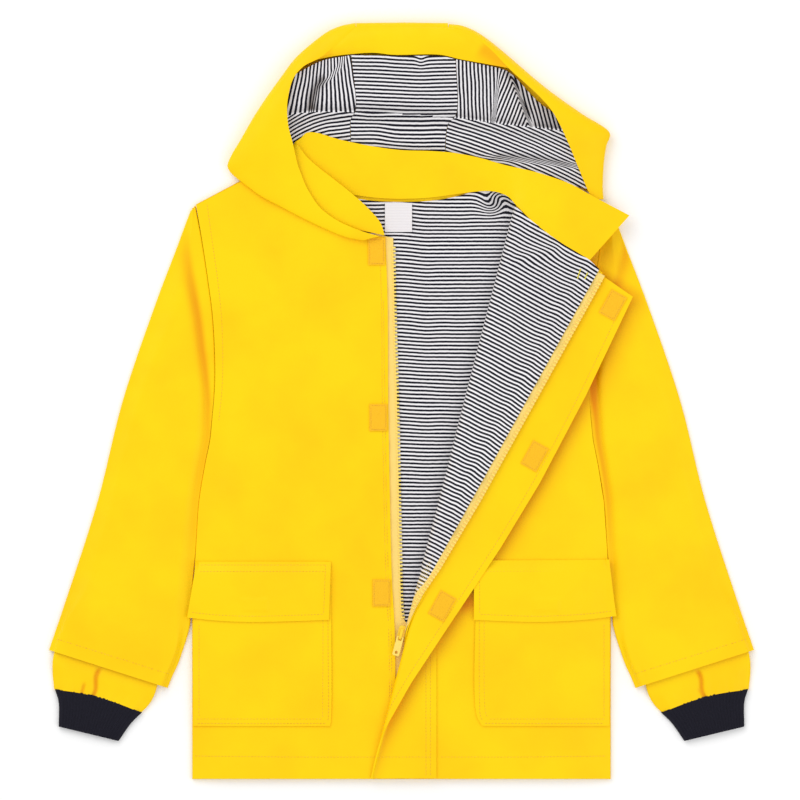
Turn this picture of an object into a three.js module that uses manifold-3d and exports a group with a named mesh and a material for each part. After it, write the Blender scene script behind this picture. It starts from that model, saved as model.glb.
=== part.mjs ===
import * as THREE from 'three'
import Module from 'manifold-3d'

// A child's hooded raincoat lying flat on its back, zip open and the wearer's left front folded back.
// Millimetres: +X to the wearer's left, +Y to the hood, +Z up from the surface that the coat lies on.
// Places are read on a laying-out sheet: x across and y down from its corner, z up from the surface.

const sheetMiddle = { x: 401.5, y: 400.8 }
const shell = 1.5          // coated cloth
const jersey = 1.0         // striped lining
const layerGap = 0.45      // air between pieces that lie on each other
const hemLine = 779
const bodyTop = 6.6        // the fronts' height above the surface
const fold = { x: 512, y: 215, acrossX: 0.9683, acrossY: 0.2497, radius: 5, lie: 6.6 }
const frontEdge = 404.5
const sleeve = { wall: 1.5, edge: 1.7, rise: 6.2 }
const ribs = { count: 44, depth: 0.7 }

const columns = (names, ...rows) =>
  rows.map(row => Object.fromEntries(names.map((name, i) => [name, row[i]])))
const mix = (a, b, t) => a + (b - a) * t
const hold = (value, low, high) => Math.min(high, Math.max(low, value))
const ease = t => { const s = hold(t, 0, 1); return s * s * (3 - 2 * s) }

// A smooth line through a table of places, read by its share of the length.
function line(...rows) {
  const points = rows.map(([x, y, z = 0]) => new THREE.Vector3(x, y, z))
  const curve = new THREE.CatmullRomCurve3(points, false, 'centripetal')
  curve.arcLengthDivisions = 120
  return t => curve.getPointAt(hold(t, 0, 1))
}

// The value of a table's column at a place between its rows.
function between(table, key, value, at) {
  const rows = table
  if (at <= rows[0][key]) return rows[0][value]
  for (let i = 1; i < rows.length; i++) {
    if (at <= rows[i][key]) {
      const t = (at - rows[i - 1][key]) / (rows[i][key] - rows[i - 1][key])
      return mix(rows[i - 1][value], rows[i][value], t)
    }
  }
  return rows[rows.length - 1][value]
}

// Places inside four edge lines: u runs across from left to right, v down from top to bottom.
function patch({ top, bottom, left, right }) {
  const a = top(0), b = top(1), c = bottom(0), d = bottom(1)
  return (u, v) => {
    const t = top(u), m = bottom(u), l = left(v), r = right(v)
    const at = key => mix(t[key], m[key], v) + mix(l[key], r[key], u)
      - mix(mix(a[key], b[key], u), mix(c[key], d[key], u), v)
    return { x: at('x'), y: at('y') }
  }
}

const evenly = n => Array.from({ length: n + 1 }, (_, i) => i / n)

// A closed mesh from two matching grids of places, its faces turned outward.
function closedCloth(outer, inner, ring = false) {
  const rows = outer.length
  const across = outer[0].length
  const places = [...outer.flat(), ...inner.flat()]
  const o = (i, j) => i * across + (j % across)
  const n = (i, j) => rows * across + o(i, j)
  const faces = []
  const quad = (a, b, c, d) => faces.push(a, b, c, a, c, d)
  const spans = ring ? across : across - 1
  for (let i = 0; i < rows - 1; i++) {
    for (let j = 0; j < spans; j++) {
      quad(o(i, j), o(i + 1, j), o(i + 1, j + 1), o(i, j + 1))
      quad(n(i, j), n(i, j + 1), n(i + 1, j + 1), n(i + 1, j))
    }
    if (!ring) {
      quad(o(i, 0), n(i, 0), n(i + 1, 0), o(i + 1, 0))
      quad(o(i, across - 1), o(i + 1, across - 1), n(i + 1, across - 1), n(i, across - 1))
    }
  }
  for (let j = 0; j < spans; j++) {
    quad(o(0, j), o(0, j + 1), n(0, j + 1), n(0, j))
    quad(o(rows - 1, j), n(rows - 1, j), n(rows - 1, j + 1), o(rows - 1, j + 1))
  }
  return meshOf(places, faces)
}

// A geometry from places on the laying-out sheet, its faces turned outward.
function meshOf(places, faces) {
  const positions = places.flatMap(p => [p.x - sheetMiddle.x, sheetMiddle.y - p.y, p.z])
  let volume = 0
  const corner = k => new THREE.Vector3().fromArray(positions, 3 * k)
  for (let f = 0; f < faces.length; f += 3) {
    volume += corner(faces[f]).dot(corner(faces[f + 1]).cross(corner(faces[f + 2])))
  }
  if (volume < 0) faces.reverse()
  const geometry = new THREE.BufferGeometry()
  geometry.setAttribute('position', new THREE.Float32BufferAttribute(positions, 3))
  geometry.setIndex(faces)
  return geometry
}

// A closed mesh from faces that both grids of places share; edges used once get the rim.
function doubled(faces, outer, inner) {
  const edges = new Map()
  for (const [a, b, c] of faces) {
    for (const [from, to] of [[a, b], [b, c], [c, a]]) {
      if (edges.has(`${to},${from}`)) edges.delete(`${to},${from}`)
      else edges.set(`${from},${to}`, [from, to])
    }
  }
  const far = outer.length
  const all = faces.flatMap(([a, b, c]) => [a, b, c, far + a, far + c, far + b])
  for (const [from, to] of edges.values()) all.push(from, far + from, far + to, from, far + to, to)
  return meshOf([...outer, ...inner], all)
}

// Cloth of even thickness whose upper face is at a height that is given for each place.
function lyingCloth(place, height, thick, us, vs) {
  const outer = vs.map(v => us.map(u => {
    const p = place(u, v)
    return { x: p.x, y: p.y, z: height(p.x, p.y, u, v) }
  }))
  const inner = outer.map(row => row.map(p => ({ ...p, z: p.z - thick })))
  return closedCloth(outer, inner)
}

// Cloth of even thickness along the slope of a grid of places; side +1 or -1 picks the second face.
function bentCloth(grid, thick, side) {
  const point = (i, j) => new THREE.Vector3(grid[i][j].x, grid[i][j].y, grid[i][j].z)
  const last = grid.length - 1
  const end = grid[0].length - 1
  const inner = grid.map((row, i) => row.map((p, j) => {
    const down = point(Math.min(last, i + 1), j).sub(point(Math.max(0, i - 1), j))
    const over = point(i, Math.min(end, j + 1)).sub(point(i, Math.max(0, j - 1)))
    const normal = down.cross(over).normalize().multiplyScalar(side * thick)
    return { x: p.x + normal.x, y: p.y + normal.y, z: p.z + normal.z }
  }))
  return closedCloth(grid, inner)
}

// The fronts' upper face: low at the sides, hem and shoulders, with soft waves between.
const sideEdge = columns(['y', 'in', 'low'],
  [150, 205, 5.0], [204, 205, 5.0], [320, 187.5, 5.0], [380, 185.5, 5.0], [440, 190.5, 4.6],
  [500, 201.5, 3.6], [565, 206.5, 3.4], [600, 209.2, 3.4], [779, 209.2, 3.4])
const settle = t => 1 - (1 - hold(t, 0, 1)) ** 2
function frontTop(x, y) {
  const fromMiddle = Math.abs(x - sheetMiddle.x)
  const side = between(sideEdge, 'y', 'in', y) - fromMiddle
  const low = between(sideEdge, 'y', 'low', y)
  const shoulder = (205.5 - fromMiddle) * 0.467 + (y - 204.4) * 0.884
  const rise = settle(side / 50) * settle((hemLine - y + 22) / 44) * settle((shoulder + 4) / 40)
  const wave = 0.25 * Math.sin(y / 31 + x / 57) * settle(side / 60) * ease((700 - y) / 60)
  return low + (bodyTop - 0.3 - low) * rise + wave * ease(fromMiddle / 40 - 0.3)
}

const coat = new THREE.Group()
coat.name = 'raincoat'
const cloths = {
  coated: new THREE.MeshStandardMaterial({ name: 'coated cloth', color: 0xffdb00, roughness: 0.45 }),
  striped: new THREE.MeshStandardMaterial({ name: 'striped jersey', color: 0x8f909a, roughness: 0.95 }),
  tape: new THREE.MeshStandardMaterial({ name: 'zip tape', color: 0xf9d36b, roughness: 0.8 }),
  hook: new THREE.MeshStandardMaterial({ name: 'hook and loop', color: 0xffc21a, roughness: 0.9 }),
  rib: new THREE.MeshStandardMaterial({ name: 'rib knit', color: 0x1b1a26, roughness: 0.95 }),
  label: new THREE.MeshStandardMaterial({ name: 'woven label', color: 0xe6e0e2, roughness: 0.9 }),
  plastic: new THREE.MeshStandardMaterial({ name: 'yellow plastic', color: 0xf2c21c, roughness: 0.4 })
}
function add(name, geometry, material) {
  const mesh = new THREE.Mesh(geometry, material)
  mesh.name = name
  coat.add(mesh)
}

// Back panel: neck and shoulders at the top, armholes and straight sides, flat on the surface.
const mirrored = rows => rows.map(([x, y, z]) => [803 - x, y, z])
const armhole = [[196, 204.4], [203, 240], [209, 280], [214, 320], [216, 380], [213, 420], [211, 440]]
const sideSeam = [...armhole, [206, 465], [200, 502], [196.8, 550], [194.5, 570], [192.5, 602], [192.3, 690],
  [192.3, 779]]
const backNeck = [[298, 150.5], [306, 164], [318, 176], [335, 187], [352, 193.4], [376, 196.8], [401.5, 198],
  [427, 196.8], [451, 193.4], [468, 187], [485, 176], [497, 164], [505, 150.5]]
const hemEdge = line([192.3, 779], [401.5, 779], [610.7, 779])
const backTop = u => {
  if (u < 0.24) return new THREE.Vector3(mix(196, 298, u / 0.24), mix(204.4, 150.5, u / 0.24), 0)
  if (u > 0.76) return new THREE.Vector3(mix(505, 607, (u - 0.76) / 0.24), mix(150.5, 204.4, (u - 0.76) / 0.24), 0)
  return line(...backNeck)((u - 0.24) / 0.52)
}
const backPlace = patch({
  top: backTop, bottom: hemEdge, left: line(...sideSeam), right: line(...mirrored(sideSeam)) })
const backAcross = [0, 0.06, 0.12, 0.18, 0.24, 0.27, 0.31, 0.36, 0.42, 0.5, 0.58, 0.64, 0.69, 0.73, 0.76, 0.82,
  0.88, 0.94, 1]
add('back_panel', lyingCloth(backPlace, () => shell, shell, backAcross, evenly(10)), cloths.coated)

// Back lining: inside the back panel, from the neck to above the hem.
const liningTop = line([262, 178], [292, 163], [306, 176], [330, 191], [362, 199.5], [401.5, 202],
  [441, 199.5], [473, 191], [497, 176], [511, 163], [541, 178])
const liningSide = [[262, 178], [226, 240], [229, 320], [231, 400], [226, 480], [222, 560], [218, 640], [218, 768]]
const backLiningPlace = patch({
  top: liningTop,
  bottom: line([218, 768], [401.5, 768], [585, 768]),
  left: line(...liningSide),
  right: line(...mirrored(liningSide)) })
add('back_lining', lyingCloth(backLiningPlace, () => 2.8, jersey, evenly(8), evenly(8)), cloths.striped)

// Right front: outer face up, from the shoulder to the hem, its front edge beside the zip.
const rightFrontPlace = patch({
  top: u => (u < 0.35
    ? new THREE.Vector3(mix(196.2, 254, u / 0.35), mix(205, 174.8, u / 0.35), 0)
    : line([254, 174.8], [259, 187], [270, 197.5], [285, 206], [304, 215], [330, 225.5], [358, 234],
      [385.4, 237])((u - 0.35) / 0.65)),
  bottom: line([192.5, 778.8], [300, 778.8], [395.8, 778.8]),
  left: line([196.2, 205], ...sideSeam.slice(1, -1), [192.5, 778.8]),
  right: line([385.4, 237], [387.6, 300], [388.3, 400], [390, 500], [392, 580], [394.7, 630], [395.5, 690],
    [395.8, 778.8]) })
const frontAcross = [0, 0.04, 0.085, 0.135, 0.19, 0.26, 0.35, 0.45, 0.53, 0.62, 0.72, 0.82, 0.91, 1]
add('front_right', lyingCloth(rightFrontPlace, frontTop, shell, frontAcross, evenly(20)), cloths.coated)

// Zip tape of the right front: sewn under the front edge, its teeth at the free side.
const rightTapePlace = patch({
  top: line([375, 233.6], [393.2, 238]),
  bottom: line([382, 773], [400.8, 773]),
  left: line([375, 233.6], [377, 400], [379, 600], [382, 773]),
  right: line([393.2, 238], [395, 330], [397, 400], [399, 500], [399.4, 560], [398.2, 605], [396.4, 622],
    [396.4, 646], [399, 662], [400.8, 700], [400.8, 773]) })
add('zip_tape_right', lyingCloth(rightTapePlace, (x, y) => frontTop(x, y) - shell - 0.4, jersey,
  [0, 0.5, 1], evenly(16)), cloths.tape)

// Hook patches, sewn on the right front beside its edge.
const patchOn = (x, y, wide, high, turn = 0) => (u, v) => {
  const a = (u - 0.5) * wide
  const b = (v - 0.5) * high
  return { x: x + a * Math.cos(turn) - b * Math.sin(turn), y: y + a * Math.sin(turn) + b * Math.cos(turn) }
}
const hooks = columns(['name', 'x', 'y', 'wide'],
  ['hook_patch_top', 376.6, 251.5, 17], ['hook_patch_middle', 378.4, 417.5, 18], ['hook_patch_low', 381.6, 593, 18])
for (const hook of hooks) {
  add(hook.name, lyingCloth(patchOn(hook.x, hook.y, hook.wide, 27), (x, y) => frontTop(x, y) + 1.65, 1.2,
    evenly(2), evenly(3)), cloths.hook)
}

// The left front and what is sewn to it are cut flat and then rolled over the fold line. out is the
// height above the panel's outer face; places past the fold turn over and come down towards the coat.
function folded(x, y, out) {
  const from = (x - fold.x) * fold.acrossX + (y - fold.y) * fold.acrossY
  const half = Math.PI * fold.radius / 2
  if (from >= half) return { x, y, z: frontTop(x, y) + out }
  const turn = Math.min(Math.PI, (half - from) / fold.radius)
  const arc = fold.radius - out
  const past = Math.max(0, -half - from)
  const across = past > 0 ? -from : half - arc * Math.sin(turn)
  const px = x + (across - from) * fold.acrossX
  const py = y + (across - from) * fold.acrossY
  const base = mix(frontTop(x + (half - from) * fold.acrossX, y + (half - from) * fold.acrossY),
    bodyTop, ease(turn / Math.PI))
  const drop = (2 * fold.radius - fold.lie) * ease(past / 55)
  return { x: px, y: py, z: base + fold.radius - arc * Math.cos(turn) - drop }
}
const foldX = y => fold.x - (y - fold.y) * fold.acrossY / fold.acrossX
const roll = Math.PI * fold.radius / 2
const foldLines = [-160, -141, -122, -104, -86, -68, -50, -34, -20,
  ...evenly(6).map(t => mix(-roll, roll, t)), 20, 38, 58, 78, 98, 118, 138, 158, 178, 198, 218, 238, 260]

// Rows of places run down the cloth and columns follow the fold line; the side edges cut the cells.
function rolledCloth({ left, right, top, bottom, lower, upper, rows }) {
  const grid = evenly(rows).map(v => foldLines.map(from => {
    let y = fold.y
    let x = fold.x
    for (let turn = 0; turn < 8; turn++) {
      x = fold.x + (from - (y - fold.y) * fold.acrossY) / fold.acrossX
      y = mix(top(x), bottom, v)
    }
    return { x, y }
  }))
  const crossing = (row, edge) => {
    const off = p => p.x - edge(p.y)
    const k = Math.max(1, row.findIndex(p => off(p) > 0))
    let a = row[k - 1]
    let b = row[k]
    for (let turn = 0; turn < 40; turn++) {
      const middle = { x: (a.x + b.x) / 2, y: (a.y + b.y) / 2 }
      if (off(middle) > 0) b = middle
      else a = middle
    }
    return a
  }
  const lefts = grid.map(row => crossing(row, left))
  const rights = grid.map(row => crossing(row, right))
  const cut = (shape, a, b, keep) => {
    const off = p => keep * ((p.x - a.x) * (b.y - a.y) - (p.y - a.y) * (b.x - a.x))
    return shape.flatMap((p, i) => {
      const next = shape[(i + 1) % shape.length]
      const here = off(p)
      const there = off(next)
      const kept = here >= 0 ? [p] : []
      if (here * there < 0) {
        const t = here / (here - there)
        kept.push({ x: mix(p.x, next.x, t), y: mix(p.y, next.y, t) })
      }
      return kept
    })
  }
  const places = []
  const known = new Map()
  const index = p => {
    const key = `${Math.round(p.x * 10)},${Math.round(p.y * 10)}`
    if (!known.has(key)) {
      known.set(key, places.length)
      places.push(p)
    }
    return known.get(key)
  }
  const faces = []
  for (let i = 0; i < rows; i++) {
    for (let k = 0; k < foldLines.length - 1; k++) {
      let shape = [grid[i][k], grid[i][k + 1], grid[i + 1][k + 1], grid[i + 1][k]]
      shape = cut(shape, lefts[i], lefts[i + 1], 1)
      if (shape.length > 2) shape = cut(shape, rights[i], rights[i + 1], -1)
      const corners = shape.map(index).filter((n, at, all) => n !== all[(at + 1) % all.length])
      for (let c = 1; c < corners.length - 1; c++) faces.push([corners[0], corners[c], corners[c + 1]])
    }
  }
  const whole = faces.filter(([a, b, c]) => a !== b && b !== c && a !== c)
  return doubled(whole, places.map(p => folded(p.x, p.y, upper)), places.map(p => folded(p.x, p.y, lower)))
}

const armSide = columns(['y', 'x'], [150, 604], [204, 606.4], [240, 599.6], [280, 593.6], [320, 588.6],
  [380, 586.6], [420, 589.6], [440, 591.6], [465, 596.6], [502, 602.6], [550, 605.8], [570, 608.1],
  [602, 610.1], [779, 610.3])
const leftNeck = columns(['x', 'y'], [404.5, 221.8], [421.5, 218.2], [458, 214.8], [488, 212], [503, 208.5],
  [511, 206.4], [529, 192], [541, 174], [560, 182], [583, 193.6], [607, 206])
add('front_left', rolledCloth({
  left: () => frontEdge, right: y => between(armSide, 'y', 'x', y), top: x => between(leftNeck, 'x', 'y', x),
  bottom: 778.8, lower: -shell, upper: 0, rows: 21 }), cloths.coated)

// Lining of the left front: from the zip tape over the roll, under the rest of the front.
const liningNeck = columns(['x', 'y'], [404, 225], [458, 219], [500, 214], [530, 206], [560, 203])
add('front_left_lining', rolledCloth({
  left: () => 417, right: y => Math.max(foldX(y) + 34, 452), top: x => between(liningNeck, 'x', 'y', x),
  bottom: 766, lower: -2.95, upper: -1.95, rows: 20 }), cloths.striped)

// Zip tape of the left front, on its inside beside the lining, cut back where the slider sits.
const leftTapeEdge = columns(['y', 'x'], [222, 401.2], [600, 401.2], [618, 409], [648, 409], [662, 403.4],
  [779, 403.4])
add('zip_tape_left', rolledCloth({
  left: y => between(leftTapeEdge, 'y', 'x', y), right: () => 416.5, top: () => 223.4, bottom: 773,
  lower: -2.95, upper: -1.95, rows: 25 }), cloths.tape)

// Storm flap: sewn to the outside of the left front, free beyond the zip.
const flapEdge = columns(['y', 'x'], [222, 367], [337, 360], [436, 358], [512, 361], [562, 365], [622, 370],
  [674, 374], [734, 374.5], [779, 369.4])
add('storm_flap', rolledCloth({
  left: y => between(flapEdge, 'y', 'x', y), right: () => 436.5, top: x => mix(228, 221, (x - 367) / 69.5),
  bottom: 778.4, lower: 0.4, upper: 1.9, rows: 22 }), cloths.coated)

// Loop patches inside the storm flap, which the fold turns upward.
const loops = columns(['name', 'x', 'y'],
  ['loop_patch_top', 380, 245], ['loop_patch_middle', 375.5, 415], ['loop_patch_low', 384, 591])
for (const loop of loops) {
  add(loop.name, rolledCloth({
    left: () => loop.x - 9, right: () => loop.x + 9, top: () => loop.y - 13.5, bottom: loop.y + 13.5,
    lower: -1.1, upper: 0.05, rows: 2 }), cloths.hook)
}

// Patch pockets with a flap over each; both lie on the front's own waves.
const onFront = (lift, thick) => (x, y) => frontTop(x, y) + lift + thick
add('pocket_right', lyingCloth(patch({
  top: line([196.5, 570], [240, 569.5], [331, 569.5]),
  bottom: line([193.2, 726], [330, 726]),
  left: line([196.5, 570], [193.2, 610], [193.2, 726]),
  right: line([331, 569.5], [331, 720], [330, 726]) }),
onFront(layerGap, shell), shell, [0, 0.06, 0.13, 0.2, 0.28, 0.45, 0.65, 0.82, 1], evenly(6)), cloths.coated)
add('pocket_left', lyingCloth(patch({
  top: line([476.5, 569.5], [560, 569.5], [606.5, 570]),
  bottom: line([482, 726], [609.4, 726]),
  left: line([476.5, 569.5], [476.5, 715], [482, 726]),
  right: line([606.5, 570], [609.4, 610], [609.4, 726]) }),
onFront(layerGap, shell), shell, [0, 0.18, 0.35, 0.55, 0.72, 0.8, 0.87, 0.94, 1], evenly(6)), cloths.coated)
const flapHeight = (x, y, u, v) => frontTop(hold(x, 196, 606), y) + mix(layerGap, 2 * layerGap + shell, ease(v * 5))
  + shell + 0.6 * Math.sin(Math.PI * v) * ease(v * 4)
add('pocket_flap_right', lyingCloth(patch({
  top: line([196.4, 561.5], [331, 561.5]),
  bottom: line([187, 617.5], [215, 620.5], [250, 622], [329, 620]),
  left: line([196.4, 561.5], [187, 617.5]),
  right: line([331, 561.5], [329, 620]) }),
(x, y, u, v) => Math.max(flapHeight(x, y, u, v), 8.4 * ease((202 - x) / 6)), shell,
[0, 0.05, 0.1, 0.16, 0.24, 0.33, 0.45, 0.6, 0.8, 1], [0, 0.07, 0.14, 0.22, 0.4, 0.6, 0.8, 1]), cloths.coated)
add('pocket_flap_left', lyingCloth(patch({
  top: line([474, 560.5], [606.6, 561.5]),
  bottom: line([474, 620], [540, 622], [588, 619.5], [616, 616.5]),
  left: line([474, 560.5], [474, 620]),
  right: line([606.6, 561.5], [616, 616.5]) }),
(x, y, u, v) => Math.max(flapHeight(x, y, u, v), 8.4 * ease((x - 601) / 6)), shell,
[0, 0.2, 0.4, 0.55, 0.67, 0.76, 0.84, 0.9, 0.95, 1], [0, 0.07, 0.14, 0.22, 0.4, 0.6, 0.8, 1]), cloths.coated)

// A flattened tube: places between two side lines, walls apart by what lies in it.
function flatTube({ place, low, high, wall, tops, bottoms, down, relief = () => 0, sunk = 0,
  edge = sleeve.edge, crowd = 0 }) {
  const ringAt = (v, inset) => {
    const r = edge - inset
    const a = place(0, v)
    const b = place(1, v)
    const wide = Math.hypot(b.x - a.x, b.y - a.y)
    const inside = s => mix(edge / wide, 1 - edge / wide, s - crowd * Math.sin(2 * Math.PI * s))
    const base = low(v)
    const ring = []
    for (let k = 0; k <= tops; k++) {
      const u = k / tops
      const p = place(inside(u), v)
      ring.push({ x: p.x, y: p.y, z: base + high(u - crowd * Math.sin(2 * Math.PI * u), v) - inset + (inset ? 0 : relief(u)) })
    }
    const side = (u, turn) => {
      const p = place(inside(u), v)
      const q = place(u < 0.5 ? 0 : 1, v)
      const out = Math.sin(turn) * r / edge
      return { x: mix(p.x, q.x, out), y: mix(p.y, q.y, out), z: base + edge + Math.cos(turn) * r }
    }
    for (const turn of [0.28, 0.5, 0.72]) ring.push(side(1, turn * Math.PI))
    for (let k = bottoms; k >= 0; k--) {
      const p = place(inside(k / bottoms), v)
      ring.push({ x: p.x, y: p.y, z: base + (inset || sunk - relief(k / bottoms)) })
    }
    for (const turn of [0.72, 0.5, 0.28]) ring.push(side(0, turn * Math.PI))
    return ring
  }
  const vs = down
  return closedCloth(vs.map(v => ringAt(v, 0)), vs.map(v => ringAt(v, wall)), true)
}

// Sleeves: from the armhole to the hem, each with a valley beside the armhole seam.
const arm = {
  top: [[190.5, 211], [192, 203.6], [195.4, 204.6]],
  outer: [[190.5, 211], [183, 231], [176, 250], [171, 263], [157, 300], [123, 400], [98, 500], [66, 600], [49, 650]],
  inner: [[195.6, 206], [202.4, 241], [208.4, 280], [213.4, 320], [215.4, 380], [212.4, 420], [210.3, 440],
    [205.3, 465], [199.3, 502], [196, 550], [193.6, 574], [190.8, 610], [190.2, 624], [187.4, 636],
    [182.6, 651], [177.6, 665], [172, 677], [167.6, 688]],
  hem: [[49, 650], [108, 669], [167.6, 688]] }
function armPlace(flip) {
  const turned = rows => (flip ? mirrored(rows) : rows)
  const outer = line(...turned(arm.outer))
  const inner = line(...turned(arm.inner))
  return (u, v) => {
    const a = outer(v)
    const b = inner(v)
    return { x: mix(a.x, b.x, u), y: mix(a.y, b.y, u) }
  }
}
const armHigh = (u, v) => {
  const width = 12 + 100 * ease(v * 1.6)
  const fromSides = Math.min(u, 1 - u) * width
  const atHem = ease((v - 0.82) / 0.11)
  const full = 2 * sleeve.edge + (sleeve.rise + 2.8 * atHem - 2 * sleeve.edge) * ease(fromSides / (16 - 10.5 * atHem))
  const valley = 1.9 * Math.exp(-(((1 - u) * width - 9) ** 2) / 16) * ease((0.55 - v) / 0.1) * ease(v / 0.08)
  return Math.max(2 * sleeve.edge, full - valley)
}
const armDown = [0, 0.05, 0.11, 0.19, 0.28, 0.37, 0.46, 0.55, 0.65, 0.75, 0.85, 0.93, 1]
for (const [name, flip] of [['sleeve_right', false], ['sleeve_left', true]]) {
  add(name, flatTube({ place: armPlace(flip), low: () => 0, high: armHigh, wall: sleeve.wall, tops: 12,
    bottoms: 3, crowd: 0.11, down: armDown }), cloths.coated)
}

// Under-sleeves: gathered into the cuff, their upper ends inside the sleeves.
const under = {
  outer: [[63, 641], [57.4, 650], [54, 659], [53.4, 672], [54.6, 687.4]],
  inner: [[160, 673], [157.6, 684], [154.4, 694], [149, 703], [141.2, 710.6]] }
const underDown = evenly(5)
function underPlace(flip) {
  const turned = rows => (flip ? mirrored(rows) : rows)
  const outer = line(...turned(under.outer))
  const inner = line(...turned(under.inner))
  return (u, v) => {
    const a = outer(v)
    const b = inner(v)
    const sag = 4 * Math.sin(Math.PI * u) * v
    return { x: mix(a.x, b.x, u), y: mix(a.y, b.y, u) - sag + 2 * v }
  }
}
const gathers = u => Math.cos(2 * Math.PI * 6 * u + 0.8)
for (const [name, flip] of [['under_sleeve_right', false], ['under_sleeve_left', true]]) {
  add(name, flatTube({
    place: underPlace(flip), low: v => 1.9 * ease((0.75 - v) / 0.3),
    high: (u, v) => 3.2 + 2.4 * ease((v - 0.35) / 0.4) * ease(Math.min(u, 1 - u) * 8)
      + 0.7 * gathers(u) * ease((v - 0.45) / 0.4) * ease(Math.min(u, 1 - u) * 8),
    wall: 1.2, tops: 18, bottoms: 3, down: underDown, edge: 1.6 }), cloths.coated)
}

// Rib-knit cuffs: ribs stand up on the outside, the inside is plain.
const cuff = { outer: [[55.4, 688.2], [58.5, 700], [58.7, 726.6]], inner: [[140.4, 711.8], [131.4, 721.5], [118.6, 741]] }
function cuffPlace(flip) {
  const turned = rows => (flip ? mirrored(rows) : rows)
  const outer = line(...turned(cuff.outer))
  const inner = line(...turned(cuff.inner))
  return (u, v) => {
    const a = outer(v)
    const b = inner(v)
    return { x: mix(a.x, b.x, u), y: mix(a.y, b.y, u) + (2.4 - 4 * Math.sin(Math.PI * u)) * (1 - v) }
  }
}
for (const [name, flip] of [['rib_cuff_right', false], ['rib_cuff_left', true]]) {
  add(name, flatTube({
    place: cuffPlace(flip), low: () => 0,
    high: (u, v) => 4.2 + 1.2 * Math.sin(Math.PI * u) * (1 - 0.4 * v), wall: 1.6,
    relief: u => ribs.depth * (0.5 - 0.5 * Math.cos(Math.PI * ribs.count * u)), sunk: ribs.depth,
    tops: ribs.count * 1.5, bottoms: ribs.count * 1.5, down: [0, 1], edge: 2.1 }), cloths.rib)
}

// Hood: each row runs from the opening's rim over the outside, round the edge and back underneath.
const hoodRow = ['rimX', 'rimY', 'rimZ', 'outX', 'outY', 'outZ', 'underZ', 'endX', 'endY']
function hoodGrid(rows) {
  return rows.map(r => {
    const reach = Math.hypot(r.endX - r.outX, r.endY - r.outY)
    const turn = Math.min(0.7 * (r.outZ - r.underZ), reach * 0.6, 6)
    const shareIn = turn / reach
    const points = []
    for (const t of [0, 0.25, 0.5, 0.75, 1]) {
      const a = t * Math.PI / 2
      points.push({ x: mix(r.rimX, r.outX, Math.sin(a)), y: mix(r.rimY, r.outY, Math.sin(a)),
        z: r.outZ + (r.rimZ - r.outZ) * Math.cos(a) })
    }
    for (const t of [0.5, 1]) {
      const a = t * Math.PI / 2
      const inward = shareIn * (1 - Math.cos(a))
      points.push({ x: mix(r.outX, r.endX, inward), y: mix(r.outY, r.endY, inward),
        z: r.underZ + (r.outZ - r.underZ) * (1 - Math.sin(a)) })
    }
    for (const t of [0.25, 0.5, 0.75, 1]) {
      const inward = mix(shareIn, 1, t)
      points.push({ x: mix(r.outX, r.endX, inward), y: mix(r.outY, r.endY, inward), z: r.underZ })
    }
    return points
  })
}

// The inside of the hood cloth, square to each row where it bends.
function hoodCloth(rows) {
  const outer = hoodGrid(rows)
  const inner = outer.map((row, i) => row.map((p, j) => {
    const away = new THREE.Vector2(rows[i].outX - rows[i].rimX, rows[i].outY - rows[i].rimY).normalize()
    const a = row[Math.max(0, j - 1)]
    const b = row[Math.min(row.length - 1, j + 1)]
    const along = j > 7 ? -1 : (b.x - a.x) * away.x + (b.y - a.y) * away.y
    const fall = j > 7 ? 0 : b.z - a.z
    const size = Math.hypot(along, fall)
    return { x: p.x + away.x * fall / size * shell, y: p.y + away.y * fall / size * shell,
      z: p.z - along / size * shell }
  }))
  return closedCloth(outer, inner)
}
const hoodRight = columns(hoodRow,
  [355.6, 26.8, 15.4, 355.6, 22.9, 8, 0, 355.4, 58],
  [347, 34.6, 18.4, 341, 25.8, 9, 0, 355.2, 100],
  [335, 45.6, 20.5, 327, 32, 9.5, 0, 354.6, 140],
  [320, 57.6, 21.8, 311, 44, 10, 0, 353.4, 176],
  [304, 66, 22.8, 295, 58.5, 10, 0, 350.6, 190],
  [293, 79, 23.5, 281, 77, 10, 0, 334, 184.2],
  [288, 98, 24, 266, 98, 10, 0, 317, 172],
  [287.2, 112, 23.5, 253, 118, 10, 0, 301, 151.5],
  [288.6, 127, 22.5, 241, 139, 10, 0, 296.5, 147.2],
  [292.5, 142, 21, 232, 154, 9.5, 0, 284, 156.4],
  [295, 153, 19.5, 227.5, 165, 9, 0, 270, 163.8],
  [297.5, 164, 18, 229.5, 171, 8.6, 0, 257, 170.8],
  [300, 171, 17.2, 233.6, 175.6, 8.6, 0.6, 250, 172],
  [303, 179, 16.6, 239.6, 180.6, 9.6, 5.6, 247, 175],
  [306, 186, 16.2, 250, 188.5, 10.4, 6.8, 256, 183.6],
  [311, 195, 15.8, 262, 197, 11, 7.3, 267, 192],
  [317, 204, 15.4, 280, 206.5, 11, 7.3, 284, 201],
  [325, 212, 15, 300, 217, 11, 7.3, 304, 212],
  [340, 222, 14.4, 324, 228.5, 11, 7.3, 328, 224.5],
  [360, 230.5, 13.8, 345, 237, 11, 7.3, 348.5, 233],
  [379, 236.2, 13, 362.6, 240.6, 11, 7.3, 365.8, 237.6])
add('hood_side_right', hoodCloth(hoodRight), cloths.coated)
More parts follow.
